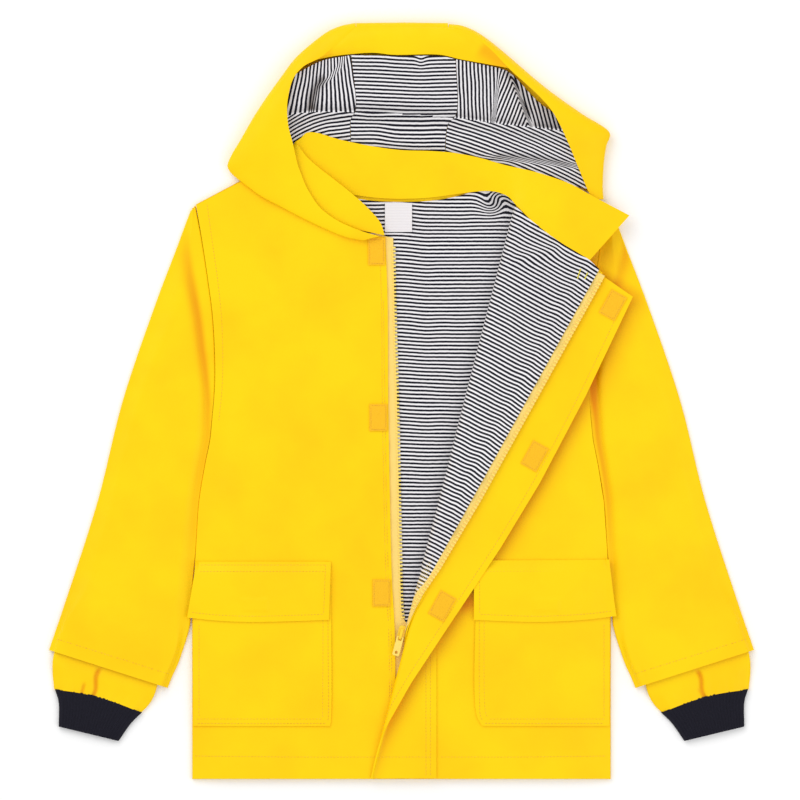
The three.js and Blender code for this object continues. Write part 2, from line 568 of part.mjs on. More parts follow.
const hoodLeft = columns(hoodRow,
  [448.8, 26.8, 15.4, 448.8, 23.9, 8, 0, 448.8, 58],
  [462, 30, 18.4, 464, 26.2, 9, 0, 449.2, 104],
  [477, 38.5, 20.4, 481, 34.5, 9.5, 0, 450.2, 148],
  [492, 50.5, 21.6, 500, 49, 10, 0, 452, 188],
  [509, 68.5, 22.4, 521, 67, 10, 0, 461, 187.6],
  [529, 86.5, 22.6, 541, 84, 10, 0, 482, 174.6],
  [541, 98, 22.4, 560, 98.5, 10, 0, 499, 154.4],
  [552, 111, 22, 581, 113, 10, 0, 507, 148.2],
  [561, 127, 21, 606, 130.5, 9.5, 0, 517, 154.4],
  [570, 147, 18.4, 606.5, 145, 9, 0, 531, 161.8],
  [576, 162, 15.6, 604.2, 160, 8.4, 0, 546, 169.8],
  [581, 174, 13.4, 603.2, 173, 7.8, 0, 561, 177.6],
  [585.5, 185, 11.8, 602.8, 185, 7.2, 0, 575, 185],
  [589, 193, 11.2, 603, 193, 7, 0, 588, 191.8],
  [592, 199, 10.8, 603.6, 199.4, 7, 0, 596.6, 196.4])
add('hood_side_left', hoodCloth(hoodLeft), cloths.coated)
const hoodMiddle = evenly(7).map(u => {
  const seam = u < 0.5 ? 1 - 2 * u : 2 * u - 1
  return { rimX: mix(356.1, 447.9, u), rimY: 26.8, rimZ: 15.4, outX: mix(356.1, 447.9, u),
    outY: 22.5 + 0.5 * seam, outZ: 8, underZ: 0, endX: mix(355.2, 448.6, u), endY: 197 - 7 * seam * seam }
})
add('hood_centre', hoodCloth(hoodMiddle), cloths.coated)

// Facing inside the front of the hood's edge, over the rim of the middle panel.
const facingPlace = patch({
  top: line([357, 25.6], [380, 25.4], [425, 25.4], [446.6, 26]),
  bottom: line([322, 59.6], [350, 54], [400, 54.8], [440, 55], [460, 59.4], [480, 62.8], [505, 69]),
  left: line([357, 25.6], [349.2, 35], [336.8, 46.6], [322, 59.6]),
  right: line([446.6, 26], [460.2, 32.4], [475, 40.5], [489.5, 52], [505, 69]) })
add('hood_facing', lyingCloth(facingPlace, (x, y, u, v) => 17.2 + 2.2 * Math.sin(Math.PI * v)
  - 0.4 * v - 0.3 * Math.sin(u * 19) * Math.sin(Math.PI * v), jersey, evenly(16), evenly(5)), cloths.coated)

// Hood lining: a bowl with one fold standing across it below the crown.
const foldDown = x => 110.5 + Math.max(0, x - 330) * 0.085
function bowl(x, y) {
  const d = y - foldDown(x)
  const crest = d < 0 ? Math.exp(-((d / 22) ** 2)) : Math.exp(-((d / 9) ** 2))
  const crown = 12.6 * ease((112 - y) / 62)
  const cheek = 5 * ease((310 - x) / 44) * ease((140 - y) / 30) + 5 * ease((x - 540) / 40) * ease((190 - y) / 40)
  const low = 3.3 + 1.4 * ease((188 - y) / 40)
  return low + crown + 7.5 * crest + cheek
}
const liningDown = [0, 0.1, 0.2, 0.3, 0.38, 0.43, 0.48, 0.54, 0.65, 0.82, 1]
add('hood_lining_centre', lyingCloth(patch({
  top: line([351.4, 55.2], [400, 56], [440, 56.2], [455.6, 59.2]),
  bottom: line([353.6, 188], [401, 193.6], [445, 188.6]),
  left: line([351.4, 55.2], [356, 111], [351, 137], [353.6, 188]),
  right: line([455.6, 59.2], [456, 116], [445, 150], [445, 188.6]) }),
bowl, jersey, evenly(7), liningDown), cloths.striped)
add('hood_lining_right', lyingCloth(patch({
  top: line([303, 70], [322, 60.8], [350.9, 55.2]),
  bottom: line([297, 163], [322, 173], [352.9, 187]),
  left: line([303, 70], [282, 84], [268, 110], [264, 138], [297, 163]),
  right: line([350.9, 55.2], [355.5, 111], [350.4, 137], [352.9, 187]) }),
bowl, jersey, evenly(7), liningDown), cloths.striped)
add('hood_lining_left', lyingCloth(patch({
  top: line([456.2, 59.4], [480, 64], [505, 70.2], [514, 76]),
  bottom: line([445.6, 188.2], [474, 184], [506, 172.5], [530, 176.5], [556, 182], [590, 189.5]),
  left: line([456.2, 59.4], [456.6, 116], [445.6, 150], [445.6, 188.2]),
  right: line([514, 76], [541, 104], [572, 124], [586, 146], [590, 189.5]) }),
(x, y) => bowl(x, y) + 0.7 * ease((y - 160) / 10) + 4.2 * ease((x - 514) / 20) * ease((y - 140) / 26), jersey, evenly(7), liningDown), cloths.striped)

// Stand collar: from the front end round the neck, turning over at the wearer's right.
const collarRows = columns(['seamX', 'seamY', 'seamZ', 'topX', 'topY', 'topZ'],
  [354, 228.6, 8.2, 384.6, 235.4, 9.2], [336, 221, 8.2, 380, 222, 9.8], [321, 212.6, 8.3, 366, 206, 10.2],
  [308, 205.4, 8.4, 350, 192, 10.6], [295, 199, 8.5, 335, 180, 10.9], [283, 192, 8.6, 320, 168.5, 11.1],
  [275, 186, 8.6, 307, 157, 11.2], [271, 182, 8.6, 300, 147.6, 11.2], [268.6, 180.6, 7.9, 297.2, 144.4, 10.6],
  [267.6, 180, 6.8, 296.2, 143, 9.4], [268.8, 179.6, 5.6, 297.4, 141.6, 8.2],
  [273, 179.4, 4.9, 301, 138, 7.6], [288, 181, 4.8, 307, 132.6, 8.0],
  [308, 184.6, 4.8, 318, 133, 8.8], [328, 189.6, 4.8, 333, 137.6, 9.4], [349, 194, 4.8, 346, 141, 10],
  [375, 197.6, 4.8, 371, 146, 10.4], [401, 198.8, 4.8, 400, 150, 10.8], [430, 197.6, 4.8, 430, 151, 11],
  [460, 193.6, 4.9, 455, 153, 11.2], [488, 191, 5.2, 480, 158, 11.6], [506, 194.6, 7, 505, 165, 12.2],
  [519, 201.4, 10.6, 530, 170.5, 13], [533, 218.4, 13.8, 552, 177, 14], [548, 230.4, 15, 572, 184.6, 15],
  [563, 241.6, 15.2, 589, 194, 15.8], [577, 250.6, 15.2, 607, 203.6, 16.6], [590.6, 259, 15.2, 629, 215, 17.4])
const collarGrid = collarRows.map(r => evenly(3).map(t => ({
  x: mix(r.seamX, r.topX, t), y: mix(r.seamY, r.topY, t), z: mix(r.seamZ, r.topZ, t) + 0.5 * Math.sin(Math.PI * t) })))
add('collar', bentCloth(collarGrid, 1.5, 1), cloths.coated)

// Neck label, sewn inside the neck on the back lining.
add('neck_label', lyingCloth(patchOn(398.5, 217.4, 27, 29), () => 4, 0.9, evenly(2), evenly(2)), cloths.label)

// Zip slider with its bridge, and the pull tab whose top bar turns under the bridge.
const wasm = await Module()
wasm.setup()
function asSolid(geometry) {
  const at = geometry.attributes.position
  const keys = new Map()
  const points = []
  const source = geometry.index ? Array.from(geometry.index.array) : Array.from({ length: at.count }, (_, i) => i)
  const triVerts = source.map(i => {
    const p = [at.getX(i), at.getY(i), at.getZ(i)]
    const key = p.map(n => Math.round(n * 1e4)).join()
    if (!keys.has(key)) {
      keys.set(key, points.length / 3)
      points.push(...p)
    }
    return keys.get(key)
  })
  return new wasm.Manifold(new wasm.Mesh({
    numProp: 3, vertProperties: new Float32Array(points), triVerts: new Uint32Array(triVerts) }))
}
function asGeometry(solid) {
  const mesh = solid.getMesh()
  const geometry = new THREE.BufferGeometry()
  geometry.setAttribute('position', new THREE.Float32BufferAttribute(Array.from(mesh.vertProperties), 3))
  geometry.setIndex(Array.from(mesh.triVerts))
  return geometry
}
function rounded(wide, long, high, corner, holes = []) {
  const outline = new THREE.Shape()
  const a = wide / 2
  const b = long / 2
  outline.moveTo(-a + corner, -b).lineTo(a - corner, -b).absarc(a - corner, -b + corner, corner, -Math.PI / 2, 0)
    .lineTo(a, b - corner).absarc(a - corner, b - corner, corner, 0, Math.PI / 2)
    .lineTo(-a + corner, b).absarc(-a + corner, b - corner, corner, Math.PI / 2, Math.PI)
    .lineTo(-a, -b + corner).absarc(-a + corner, -b + corner, corner, Math.PI, 1.5 * Math.PI)
  for (const h of holes) {
    const gap = new THREE.Path()
    if (h.round) {
      gap.absarc(h.x, h.y, h.round, 0, 2 * Math.PI)
    } else {
      gap.moveTo(h.x - h.wide / 2, h.y - h.long / 2).lineTo(h.x - h.wide / 2, h.y + h.long / 2)
        .lineTo(h.x + h.wide / 2, h.y + h.long / 2).lineTo(h.x + h.wide / 2, h.y - h.long / 2)
    }
    outline.holes.push(gap)
  }
  return new THREE.ExtrudeGeometry(outline, { depth: high, bevelEnabled: false, curveSegments: 5 })
}
const slider = { x: 401.4, y: 633, wide: 7.2, long: 15, floor: 7.2, high: 2.6 }
const sliderTurn = -0.259
const place = geometry => {
  geometry.rotateZ(sliderTurn)
  geometry.translate(slider.x - sheetMiddle.x, sheetMiddle.y - slider.y, 0)
  return geometry
}
const plate = rounded(slider.wide, slider.long, slider.high, 2.4)
plate.translate(0, 0, slider.floor)
const bridge = rounded(11, 4.6, 2.4, 1.4, [{ x: -1.6, y: -0.1, wide: 5, long: 2.4 }])
bridge.translate(0, 0, -1.2)
bridge.rotateX(Math.PI / 2)
bridge.rotateZ(Math.PI / 2)
bridge.translate(0, -1, slider.floor + slider.high + 1.9)
add('zip_slider', asGeometry(asSolid(place(plate)).add(asSolid(place(bridge)))), cloths.plastic)
const tab = rounded(7, 20, 1.2, 1.6, [{ x: 0, y: 7.1, wide: 3.6, long: 3.2 }, { x: 0, y: -6.6, round: 1.6 }])
tab.translate(0, -13.4, slider.floor + slider.high + 1.2)
add('zip_pull', place(tab), cloths.plastic)

export default coat
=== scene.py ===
import math

import bpy
import numpy as np
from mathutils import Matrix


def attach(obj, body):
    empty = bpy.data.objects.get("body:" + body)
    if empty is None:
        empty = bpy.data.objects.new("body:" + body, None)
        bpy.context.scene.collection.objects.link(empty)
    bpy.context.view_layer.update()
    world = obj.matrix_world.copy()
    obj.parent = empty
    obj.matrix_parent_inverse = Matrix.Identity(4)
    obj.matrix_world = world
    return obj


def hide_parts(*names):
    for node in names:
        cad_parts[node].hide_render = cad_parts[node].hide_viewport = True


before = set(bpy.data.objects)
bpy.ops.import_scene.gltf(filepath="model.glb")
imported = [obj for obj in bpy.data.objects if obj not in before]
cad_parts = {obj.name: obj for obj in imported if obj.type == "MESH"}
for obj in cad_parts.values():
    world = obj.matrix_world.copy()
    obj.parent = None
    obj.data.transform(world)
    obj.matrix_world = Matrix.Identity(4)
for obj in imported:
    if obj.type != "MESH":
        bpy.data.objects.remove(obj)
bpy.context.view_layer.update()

# The back panel: one piece of yellow coated cotton from the neck to the hem, lying on the surface.
# Its side, shoulder and neck edges are sewn to the fronts, the sleeves and the hood.
# Places are millimetres on the laying-out sheet: x across and y down from its corner, z up.
SHEET_MIDDLE = (401.5, 400.8)
SHELL = 1.5


def lengths(places):
    """How far along its run each place lies."""
    return np.r_[0, np.cumsum(np.linalg.norm(np.diff(places, axis=0), axis=1))]


def line(*places):
    """A smooth line through places, read by its share of the length."""
    p = np.array(places, float)
    p = np.vstack([2 * p[0] - p[1], p, 2 * p[-1] - p[-2]])
    t = np.linspace(0, 1, 21)[:-1, None]
    dense = []
    for a, b, c, d in zip(p, p[1:], p[2:], p[3:]):
        u, v, w = (np.linalg.norm(q) ** 0.5 for q in (b - a, c - b, d - c))
        leave = ((b - a) / u - (c - a) / (u + v) + (c - b) / v) * v
        reach = ((c - b) / v - (d - b) / (v + w) + (d - c) / w) * v
        dense.append((2 * t**3 - 3 * t**2 + 1) * b + (t**3 - 2 * t**2 + t) * leave
                     + (3 * t**2 - 2 * t**3) * c + (t**3 - t**2) * reach)
    dense = np.vstack(dense + [p[-2][None]])
    length = lengths(dense)

    def at(share):
        s = np.clip(share, 0, 1) * length[-1]
        return np.stack([np.interp(s, length, dense[:, k]) for k in range(dense.shape[1])], -1)

    at.length = length[-1]
    return at


def joined(*parts):
    """Lines that follow each other, each with its share of the whole."""
    def at(share):
        share = np.asarray(share, float)
        out, low = None, 0.0
        for size, part in parts:
            there = part((share - low) / size)
            out = there if out is None else np.where((share >= low)[..., None], there, out)
            low += size
        return out
    return at


def patch(top, bottom, left, right, across, down):
    """A grid of places inside four edge lines."""
    u = np.linspace(0, 1, across + 1)
    v = np.linspace(0, 1, down + 1)
    t, m, l, r = top(u)[None], bottom(u)[None], left(v)[:, None], right(v)[:, None]
    u, v = u[None, :, None], v[:, None, None]
    corners = (t[:, :1] * (1 - u) + t[:, -1:] * u) * (1 - v) + (m[:, :1] * (1 - u) + m[:, -1:] * u) * v
    return t * (1 - v) + m * v + l * (1 - u) + r * u - corners


def linear(hexes):
    """An sRGB hex colour as linear red, green, blue and alpha."""
    parts = [int(hexes[k:k + 2], 16) / 255 for k in (1, 3, 5)]
    return [c / 12.92 if c <= 0.04045 else ((c + 0.055) / 1.055) ** 2.4 for c in parts] + [1.0]


def add(tree, kind, settings=None, **links):
    """Adds a node; a link is an output, and settings are values by name or by socket number."""
    node = tree.nodes.new(kind)
    for key, value in (settings or {}).items():
        if isinstance(key, int) or key in node.inputs:
            node.inputs[key].default_value = value
        else:
            setattr(node, key, value)
    for key, output in links.items():
        place = int(key[1:]) if key[1:].isdigit() else key.replace("_", " ")
        tree.links.new(output, node.inputs[place])
    return node


def placed(name, mesh):
    """Puts a mesh in the scene as a piece, the only one selected."""
    piece = bpy.data.objects.new(name, mesh)
    bpy.context.scene.collection.objects.link(piece)
    bpy.ops.object.select_all(action="DESELECT")
    piece.select_set(True)
    bpy.context.view_layer.objects.active = piece
    return piece


def grid_faces(rows, across, round_it=False):
    """The four corners of each face of a grid of places, row by row."""
    i, j = np.meshgrid(np.arange(rows - 1), np.arange(across if round_it else across - 1), indexing="ij")
    k = (j + 1) % across
    faces = np.stack([i * across + j, (i + 1) * across + j, (i + 1) * across + k, i * across + k], -1)
    return faces.reshape(-1, 4)


def blank(name):
    """A new material without nodes."""
    material = bpy.data.materials.new(name)
    material.use_nodes = True
    material.node_tree.nodes.clear()
    return material, material.node_tree


def finish(tree, settings, **links):
    """The material's shader and its output."""
    shader = add(tree, "ShaderNodeBsdfPrincipled", settings, **links)
    add(tree, "ShaderNodeOutputMaterial", None, Surface=shader.outputs[0])


def coated_cloth(name, colour, low):
    """Cotton with a polyurethane coat: a soft plastic sheen over fine pebbles and dry wrinkles."""
    material, tree = blank(name)
    place = add(tree, "ShaderNodeTexCoord").outputs["Object"]
    wide = add(tree, "ShaderNodeTexNoise", {"Scale": 14.0, "Detail": 3.0}, Vector=place)
    fine = add(tree, "ShaderNodeTexNoise", {"Scale": 1400.0, "Detail": 2.0}, Vector=place)
    wrinkle = add(tree, "ShaderNodeTexNoise", {"Scale": 75.0, "Detail": 4.0, "Roughness": 0.55},
                  Vector=place)
    ramp = add(tree, "ShaderNodeValToRGB", None, Fac=wide.outputs[0])
    ramp.color_ramp.elements[0].position = 0.3
    ramp.color_ramp.elements[0].color = linear(low)
    ramp.color_ramp.elements[1].position = 0.62
    ramp.color_ramp.elements[1].color = linear(colour)
    # Painted shade: where a place's shade attribute is high, the colour is mixed towards orange #E88F00,
    # standing in for the shade and orange bounced light in dents, creases and beside raised parts.
    painted_shade = add(tree, "ShaderNodeAttribute", {"attribute_name": "painted_shade"})
    deep = add(tree, "ShaderNodeMix", {"data_type": "RGBA", 7: linear("#E88F00")}, s0=painted_shade.outputs[2],
               s6=ramp.outputs[0])
    rough = add(tree, "ShaderNodeMapRange", {3: 0.42, 4: 0.54}, Value=wrinkle.outputs[0])
    soft = add(tree, "ShaderNodeBump", {"Strength": 0.28, "Distance": 0.0012}, Height=wrinkle.outputs[0])
    pebbles = add(tree, "ShaderNodeBump", {"Strength": 0.16, "Distance": 0.0003},
                  Height=fine.outputs[0], Normal=soft.outputs[0])
    finish(tree, {"IOR": 1.45, "Specular IOR Level": 0.18}, Base_Color=deep.outputs[2],
           Roughness=rough.outputs[0], Normal=pebbles.outputs[0])
    return material


def cloth(name, grid, thick, material, nodes, cut=None, round_it=False,
          flat=None, painted_shade=None):
    """Cloth of even thickness under a grid of places, its flat cut kept as UV in metres."""
    rows, across = grid.shape[:2]
    faces = grid_faces(rows, across, round_it)
    places = grid.reshape(-1, 3)
    places = np.stack([places[:, 0] - SHEET_MIDDLE[0], SHEET_MIDDLE[1] - places[:, 1], places[:, 2]], -1)
    mesh = bpy.data.meshes.new(name)
    mesh.from_pydata((places / 1000).tolist(), [], faces.tolist())
    cut = grid[..., :2] if cut is None else cut
    if cut.shape[:2] == grid.shape[:2]:
        corners = cut.reshape(-1, 2)[faces]
        if round_it:
            last = np.arange(len(faces)) % across == across - 1
            step = cut[0, 1, 0] - cut[0, 0, 0]
            corners[last, 2:, 0] = corners[last, :2, 0][:, ::-1] + step
    else:
        corners = cut
    # Painted shade: a share from 0 to 1 on each place, which the materials read to darken the colour there.
    if painted_shade is not None:
        mark = mesh.attributes.new("painted_shade", "FLOAT", "POINT")
        mark.data.foreach_set("value", np.broadcast_to(painted_shade, (rows, across)).astype(np.float32).ravel())
    layer = mesh.uv_layers.new(name="cut")
    layer.data.foreach_set("uv", (corners / 1000).astype(np.float32).ravel())
    piece = placed(name, mesh)
    wall = piece.modifiers.new("wall", "SOLIDIFY")
    wall.thickness = thick / 1000
    wall.offset = -1
    bpy.ops.object.modifier_apply(modifier=wall.name)
    # The surface presses the lowest cloth flat.
    for corner in mesh.vertices:
        corner.co.z = max(corner.co.z, 0)
    bpy.ops.object.shade_smooth_by_angle(angle=math.radians(48))
    piece.data.materials.append(material)
    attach(piece, "coat")
    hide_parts(*nodes)
    if flat is None:
        a, b, c, d = (corners[:, n] for n in range(4))
        wide, long = (float(np.ptp(corners[..., n])) / 1000 for n in (0, 1))
        area = min(float(np.abs(np.cross(c - a, d - b)).sum()) / 2e6, wide * long)
    else:
        wide, long, area = flat
    return piece


def raised(flat, height):
    """A flat grid with a height given for each place."""
    return np.dstack([flat, np.broadcast_to(height, flat.shape[:2])])


def mirrored(places):
    """The same places on the other side of the sheet's middle."""
    return [(2 * SHEET_MIDDLE[0] - p[0], *p[1:]) for p in places]


yellow = coated_cloth("polyurethane-coated cotton", "#FFD600", "#FFCC00")
shoulder = (line((196, 204.4), (298, 150.5)), line((505, 150.5), (607, 204.4)))
back_neck = line((298, 150.5), (306, 164), (318, 176), (335, 187), (352, 193.4), (376, 196.8), (401.5, 198),
                 (427, 196.8), (451, 193.4), (468, 187), (485, 176), (497, 164), (505, 150.5))
ARMHOLE = [(203, 240), (209, 280), (214, 320), (216, 380), (213, 420), (211, 440), (206, 465), (200, 502),
           (196.8, 550)]
side_seam = [(196, 204.4), *ARMHOLE, (194.5, 570), (192.5, 602), (192.3, 690), (192.3, 779)]
back = patch(joined((0.24, shoulder[0]), (0.52, back_neck), (0.24, shoulder[1])),
             line((192.3, 779), (401.5, 779), (610.7, 779)),
             line(*side_seam), line(*mirrored(side_seam)), 120, 150)
cloth("back_panel_cloth", raised(back, SHELL), SHELL, yellow, ["back_panel"])

# Back lining: cotton single jersey, knitted in navy and white stripes 3.85 mm apart.
# It is sewn in at the neck, shoulders and sides, and hangs free above the hem.
JERSEY = 1.0
STRIPE = 3.85


def ease(t):
    """From 0 to 1 with a soft start and a soft end."""
    t = np.clip(t, 0, 1)
    return t * t * (3 - 2 * t)


def swell(x, y, size, seed):
    """Soft uneven waves from -1 to 1, size millimetres apart."""
    table = np.random.default_rng(seed).uniform(-1, 1, (97, 97))
    a, b = x / size + 40, y / size + 40
    i, j = np.floor(a).astype(int), np.floor(b).astype(int)
    s, t = a - i, b - j
    s, t = s**3 * (s * (6 * s - 15) + 10), t**3 * (t * (6 * t - 15) + 10)
    i, j, k, l = i % 97, j % 97, (i + 1) % 97, (j + 1) % 97
    low = table[i, j] * (1 - s) + table[k, j] * s
    high = table[i, l] * (1 - s) + table[k, l] * s
    return low * (1 - t) + high * t


def crease(x, y, places, width):
    """One along a crease and falling to nothing beside it and at its two ends."""
    near = np.full(x.shape, 1e9)
    along = np.zeros(x.shape)
    p = line(*places)(np.linspace(0, 1, 4 * len(places)))
    total = len(p) - 1
    for k, (a, b) in enumerate(zip(p, p[1:])):
        d = b - a
        t = np.clip(((x - a[0]) * d[0] + (y - a[1]) * d[1]) / (d @ d), 0, 1)
        away = np.hypot(x - a[0] - t * d[0], y - a[1] - t * d[1])
        along = np.where(away < near, (k + t) / total, along)
        near = np.minimum(near, away)
    return np.exp(-((near / width) ** 2)) * ease(along * 6) * ease((1 - along) * 6)


def striped_jersey(name):
    """Single jersey: soft, matt and slightly fuzzy, with knitted columns across each stripe."""
    material, tree = blank(name)
    place = add(tree, "ShaderNodeUVMap", {"uv_map": "cut"}).outputs[0]
    apart = add(tree, "ShaderNodeSeparateXYZ", None, Vector=place)
    drift = add(tree, "ShaderNodeTexNoise", {"Scale": 260.0, "Detail": 2.0}, Vector=place)
    nudge = add(tree, "ShaderNodeMath", {"operation": "MULTIPLY_ADD", 1: 0.00055, 2: -0.000275},
                s0=drift.outputs[0])
    along = add(tree, "ShaderNodeMath", {"operation": "ADD"}, s0=apart.outputs[1], s1=nudge.outputs[0])
    turns = add(tree, "ShaderNodeMath", {"operation": "MULTIPLY", 1: 2 * math.pi / (STRIPE / 1000)},
                s0=along.outputs[0])
    wave = add(tree, "ShaderNodeMath", {"operation": "SINE"}, s0=turns.outputs[0])
    mask = add(tree, "ShaderNodeMapRange", {1: -0.3, 2: 0.12}, Value=wave.outputs[0])
    fleck = add(tree, "ShaderNodeTexNoise", {"Scale": 900.0, "Detail": 2.0}, Vector=place)
    navy = add(tree, "ShaderNodeMix", {"data_type": "RGBA", 6: linear("#0D0C16"), 7: linear("#1D1C2A")},
               s0=fleck.outputs[0])
    white = add(tree, "ShaderNodeMix", {"data_type": "RGBA", 6: linear("#E8E5E9"), 7: linear("#F8F6F8")},
                s0=fleck.outputs[0])
    colour = add(tree, "ShaderNodeMix", {"data_type": "RGBA"}, s0=mask.outputs[0], s6=white.outputs[2],
                 s7=navy.outputs[2])
    # Painted shade: the stripes are multiplied towards dark brown #4A382C where the shade attribute is
    # high.
    painted_shade = add(tree, "ShaderNodeAttribute", {"attribute_name": "painted_shade"})
    shaded = add(tree, "ShaderNodeMix",
                 {"data_type": "RGBA", "blend_type": "MULTIPLY", 7: linear("#4A382C")},
                 s0=painted_shade.outputs[2], s6=colour.outputs[2])
    # Knitted columns are 0.9 mm apart, near what the picture can show.
    ribs = add(tree, "ShaderNodeTexWave",
               {"Scale": 2 * math.pi / 20 / 0.0009, "Distortion": 1.0, "Detail": 1.0}, Vector=place)
    knit = add(tree, "ShaderNodeBump", {"Strength": 0.35, "Distance": 0.0003}, Height=ribs.outputs[0])
    pucker = add(tree, "ShaderNodeTexNoise", {"Scale": 60.0, "Detail": 3.0}, Vector=place)
    soft = add(tree, "ShaderNodeBump", {"Strength": 0.4, "Distance": 0.0014}, Height=pucker.outputs[0],
               Normal=knit.outputs[0])
    finish(tree,
           {"Roughness": 0.95, "Sheen Weight": 0.08, "Sheen Roughness": 0.5, "Specular IOR Level": 0.2},
           Base_Color=shaded.outputs[2], Normal=soft.outputs[0])
    return material


jersey = striped_jersey("striped cotton single jersey")
lining_side = [(262, 178), (226, 240), (229, 320), (231, 400), (226, 480), (222, 560), (218, 640),
               (218, 768)]
lining_flat = patch(
    line((262, 178), (292, 163), (306, 176), (330, 191), (362, 199.5), (401.5, 202), (441, 199.5),
         (473, 191), (497, 176), (511, 163), (541, 178)),
    line((218, 768), (401.5, 768), (585, 768)), line(*lining_side), line(*mirrored(lining_side)), 110, 170)
x, y = lining_flat[..., 0], lining_flat[..., 1]
lining_height = (2.75 + 0.28 * swell(x, y, 34, 3) * ease((768 - y) / 40) + 0.2 * swell(x, y, 11, 4)
                 + 0.8 * crease(x, y, [(415, 210), (432, 250), (440, 300)], 4)
                 + 0.7 * crease(x, y, [(470, 215), (466, 250), (455, 300), (450, 340)], 4)
                 + 0.6 * crease(x, y, [(400, 430), (405, 480), (403, 540), (406, 590)], 3.5))
# The knit has been pulled a little off level, so its stripes dip away from the zip.
dip = (2.0 * ease((x - 396) / 34) * ease((560 - y) / 240) + 0.6 * swell(x, y, 42, 5)
       + 0.3 * swell(x, y, 17, 6))
# Beside the turned front's neck the knit is bunched into a small curl.
curl = 1.5 * np.exp(-((x - 496) ** 2 + (y - 201) ** 2) / 120)
lining_cut = np.dstack([496 + (x - 496) * np.cos(curl) - (y - 201) * np.sin(curl),
                        201 + (x - 496) * np.sin(curl) + (y - 201) * np.cos(curl) - dip])
# The curl's middle also gets painted shade.
cloth("back_lining_cloth", raised(lining_flat, lining_height), JERSEY - 0.2, jersey, ["back_lining"],
      cut=lining_cut, painted_shade=0.35 * (curl / 1.5))

# Right front: coated cotton with a turned and stitched front edge, sewn to the zip tape under it.
# It lies with soft dents beside the armhole, the side seam and the front edge.
HEM = 779.0
BODY_TOP = 6.6
# Each row: how far down the sheet, the side edge's distance from the middle, the edge's height.
side_edge = np.array([(150, 205, 5.0), (204, 205, 5.0), (320, 187.5, 5.0), (380, 185.5, 5.0),
                      (440, 190.5, 4.6), (500, 201.5, 3.6), (565, 206.5, 3.4), (600, 209.2, 3.4),
                      (779, 209.2, 3.4)])


def settle(t):
    """From 0 to 1, steep at first, as cloth rises from its edge."""
    return 1 - (1 - np.clip(t, 0, 1)) ** 2


def front_top(x, y):
    """Height of the fronts' outer face where they lie."""
    from_middle = np.abs(x - SHEET_MIDDLE[0])
    side = np.interp(y, side_edge[:, 0], side_edge[:, 1]) - from_middle
    low = np.interp(y, side_edge[:, 0], side_edge[:, 2])
    over = (205.5 - from_middle) * 0.467 + (y - 204.4) * 0.884
    rise = settle(side / 50) * settle((HEM - y + 22) / 44) * settle((over + 4) / 40)
    wave = 0.25 * np.sin(y / 31 + x / 57) * settle(side / 60) * ease((700 - y) / 60)
    base = low + (BODY_TOP - 0.3 - low) * rise + wave * ease(from_middle / 40 - 0.3)
    inside = ease(side / 14) * ease((HEM - y) / 10) * ease((over - 2) / 12)
    calm = ease((from_middle - 14) / 16)
    dents = (0.3 * swell(x, y, 46, 11) + 0.16 * swell(x, y, 19, 12)) * calm
    dents -= 0.75 * crease(x, y, [(225, 300), (229, 350), (228, 400), (222, 450), (218, 500)], 8)
    dents -= 0.5 * crease(x, y, [(250, 230), (258, 270), (262, 330)], 10)
    dents -= 0.6 * crease(x, y, [(575, 420), (580, 460), (588, 510)], 8)
    return base + dents * inside


right_front = patch(
    joined((0.35, line((196.2, 205), (254, 174.8))),
           (0.65, line((254, 174.8), (259, 187), (270, 197.5), (285, 206), (304, 215), (330, 225.5),
                       (358, 234), (385.4, 237)))),
    line((192.5, 778.8), (300, 778.8), (395.8, 778.8)),
    line((196, 205), *((x - 0.9, y) for x, y in ARMHOLE), (194.5, 570), (192.5, 602), (192.3, 690),
         (192.5, 778.8)),
    line((385.4, 237), (387.6, 300), (388.3, 400), (390, 500), (392, 580), (394.7, 630), (395.5, 690),
         (395.8, 778.8)), 72, 200)
x, y = right_front[..., 0], right_front[..., 1]
edge_wave = 0.22 * np.sin(y / 4.1) * np.exp(-((390 - x) / 7) ** 2)
cloth("right_front_cloth", raised(right_front, front_top(x, y) + edge_wave), SHELL, yellow, ["front_right"])


def thread_run(name, runs, material, every=3.3, size=(2.3, 0.5, 0.24)):
    """Lockstitches along lines of places, one small pointed bead to a stitch, in one mesh."""
    bead = np.array([(-0.5, 0, 0), (-0.3, 0.5, 0), (-0.3, 0, 0.5), (-0.3, -0.5, 0), (-0.3, 0, -0.5),
                     (0.3, 0.5, 0), (0.3, 0, 0.5), (0.3, -0.5, 0), (0.3, 0, -0.5), (0.5, 0, 0)]) * size
    rim = [(1, 2, 6, 5), (2, 3, 7, 6), (3, 4, 8, 7), (4, 1, 5, 8)]
    ends = [(0, 2, 1), (0, 3, 2), (0, 4, 3), (0, 1, 4), (9, 5, 6), (9, 6, 7), (9, 7, 8), (9, 8, 5)]
    places, faces = [], []
    for run in runs:
        length = lengths(run)
        for s in np.arange(every * 0.6, length[-1] - every * 0.5, every):
            here, a, b = (np.array([np.interp(q, length, run[:, k]) for k in range(3)])
                          for q in (s, s - 1.0, s + 1.0))
            here, a, b = (q * (1, -1, 1) for q in (here, a, b))
            way = (b - a) / np.linalg.norm(b - a)
            over = np.cross((0, 0, 1), way)
            over /= np.linalg.norm(over)
            turn = np.stack([way, over, np.cross(way, over)])
            base = len(bead) * len(places)
            places.append(bead @ turn + here + (-SHEET_MIDDLE[0], SHEET_MIDDLE[1], 0))
            faces += [tuple(base + n for n in f) for f in rim + ends]
    mesh = bpy.data.meshes.new(name)
    mesh.from_pydata((np.vstack(places) / 1000).tolist(), [], faces)
    piece = placed(name, mesh)
    bpy.ops.object.shade_smooth()
    piece.data.materials.append(material)
    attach(piece, "coat")
    return piece


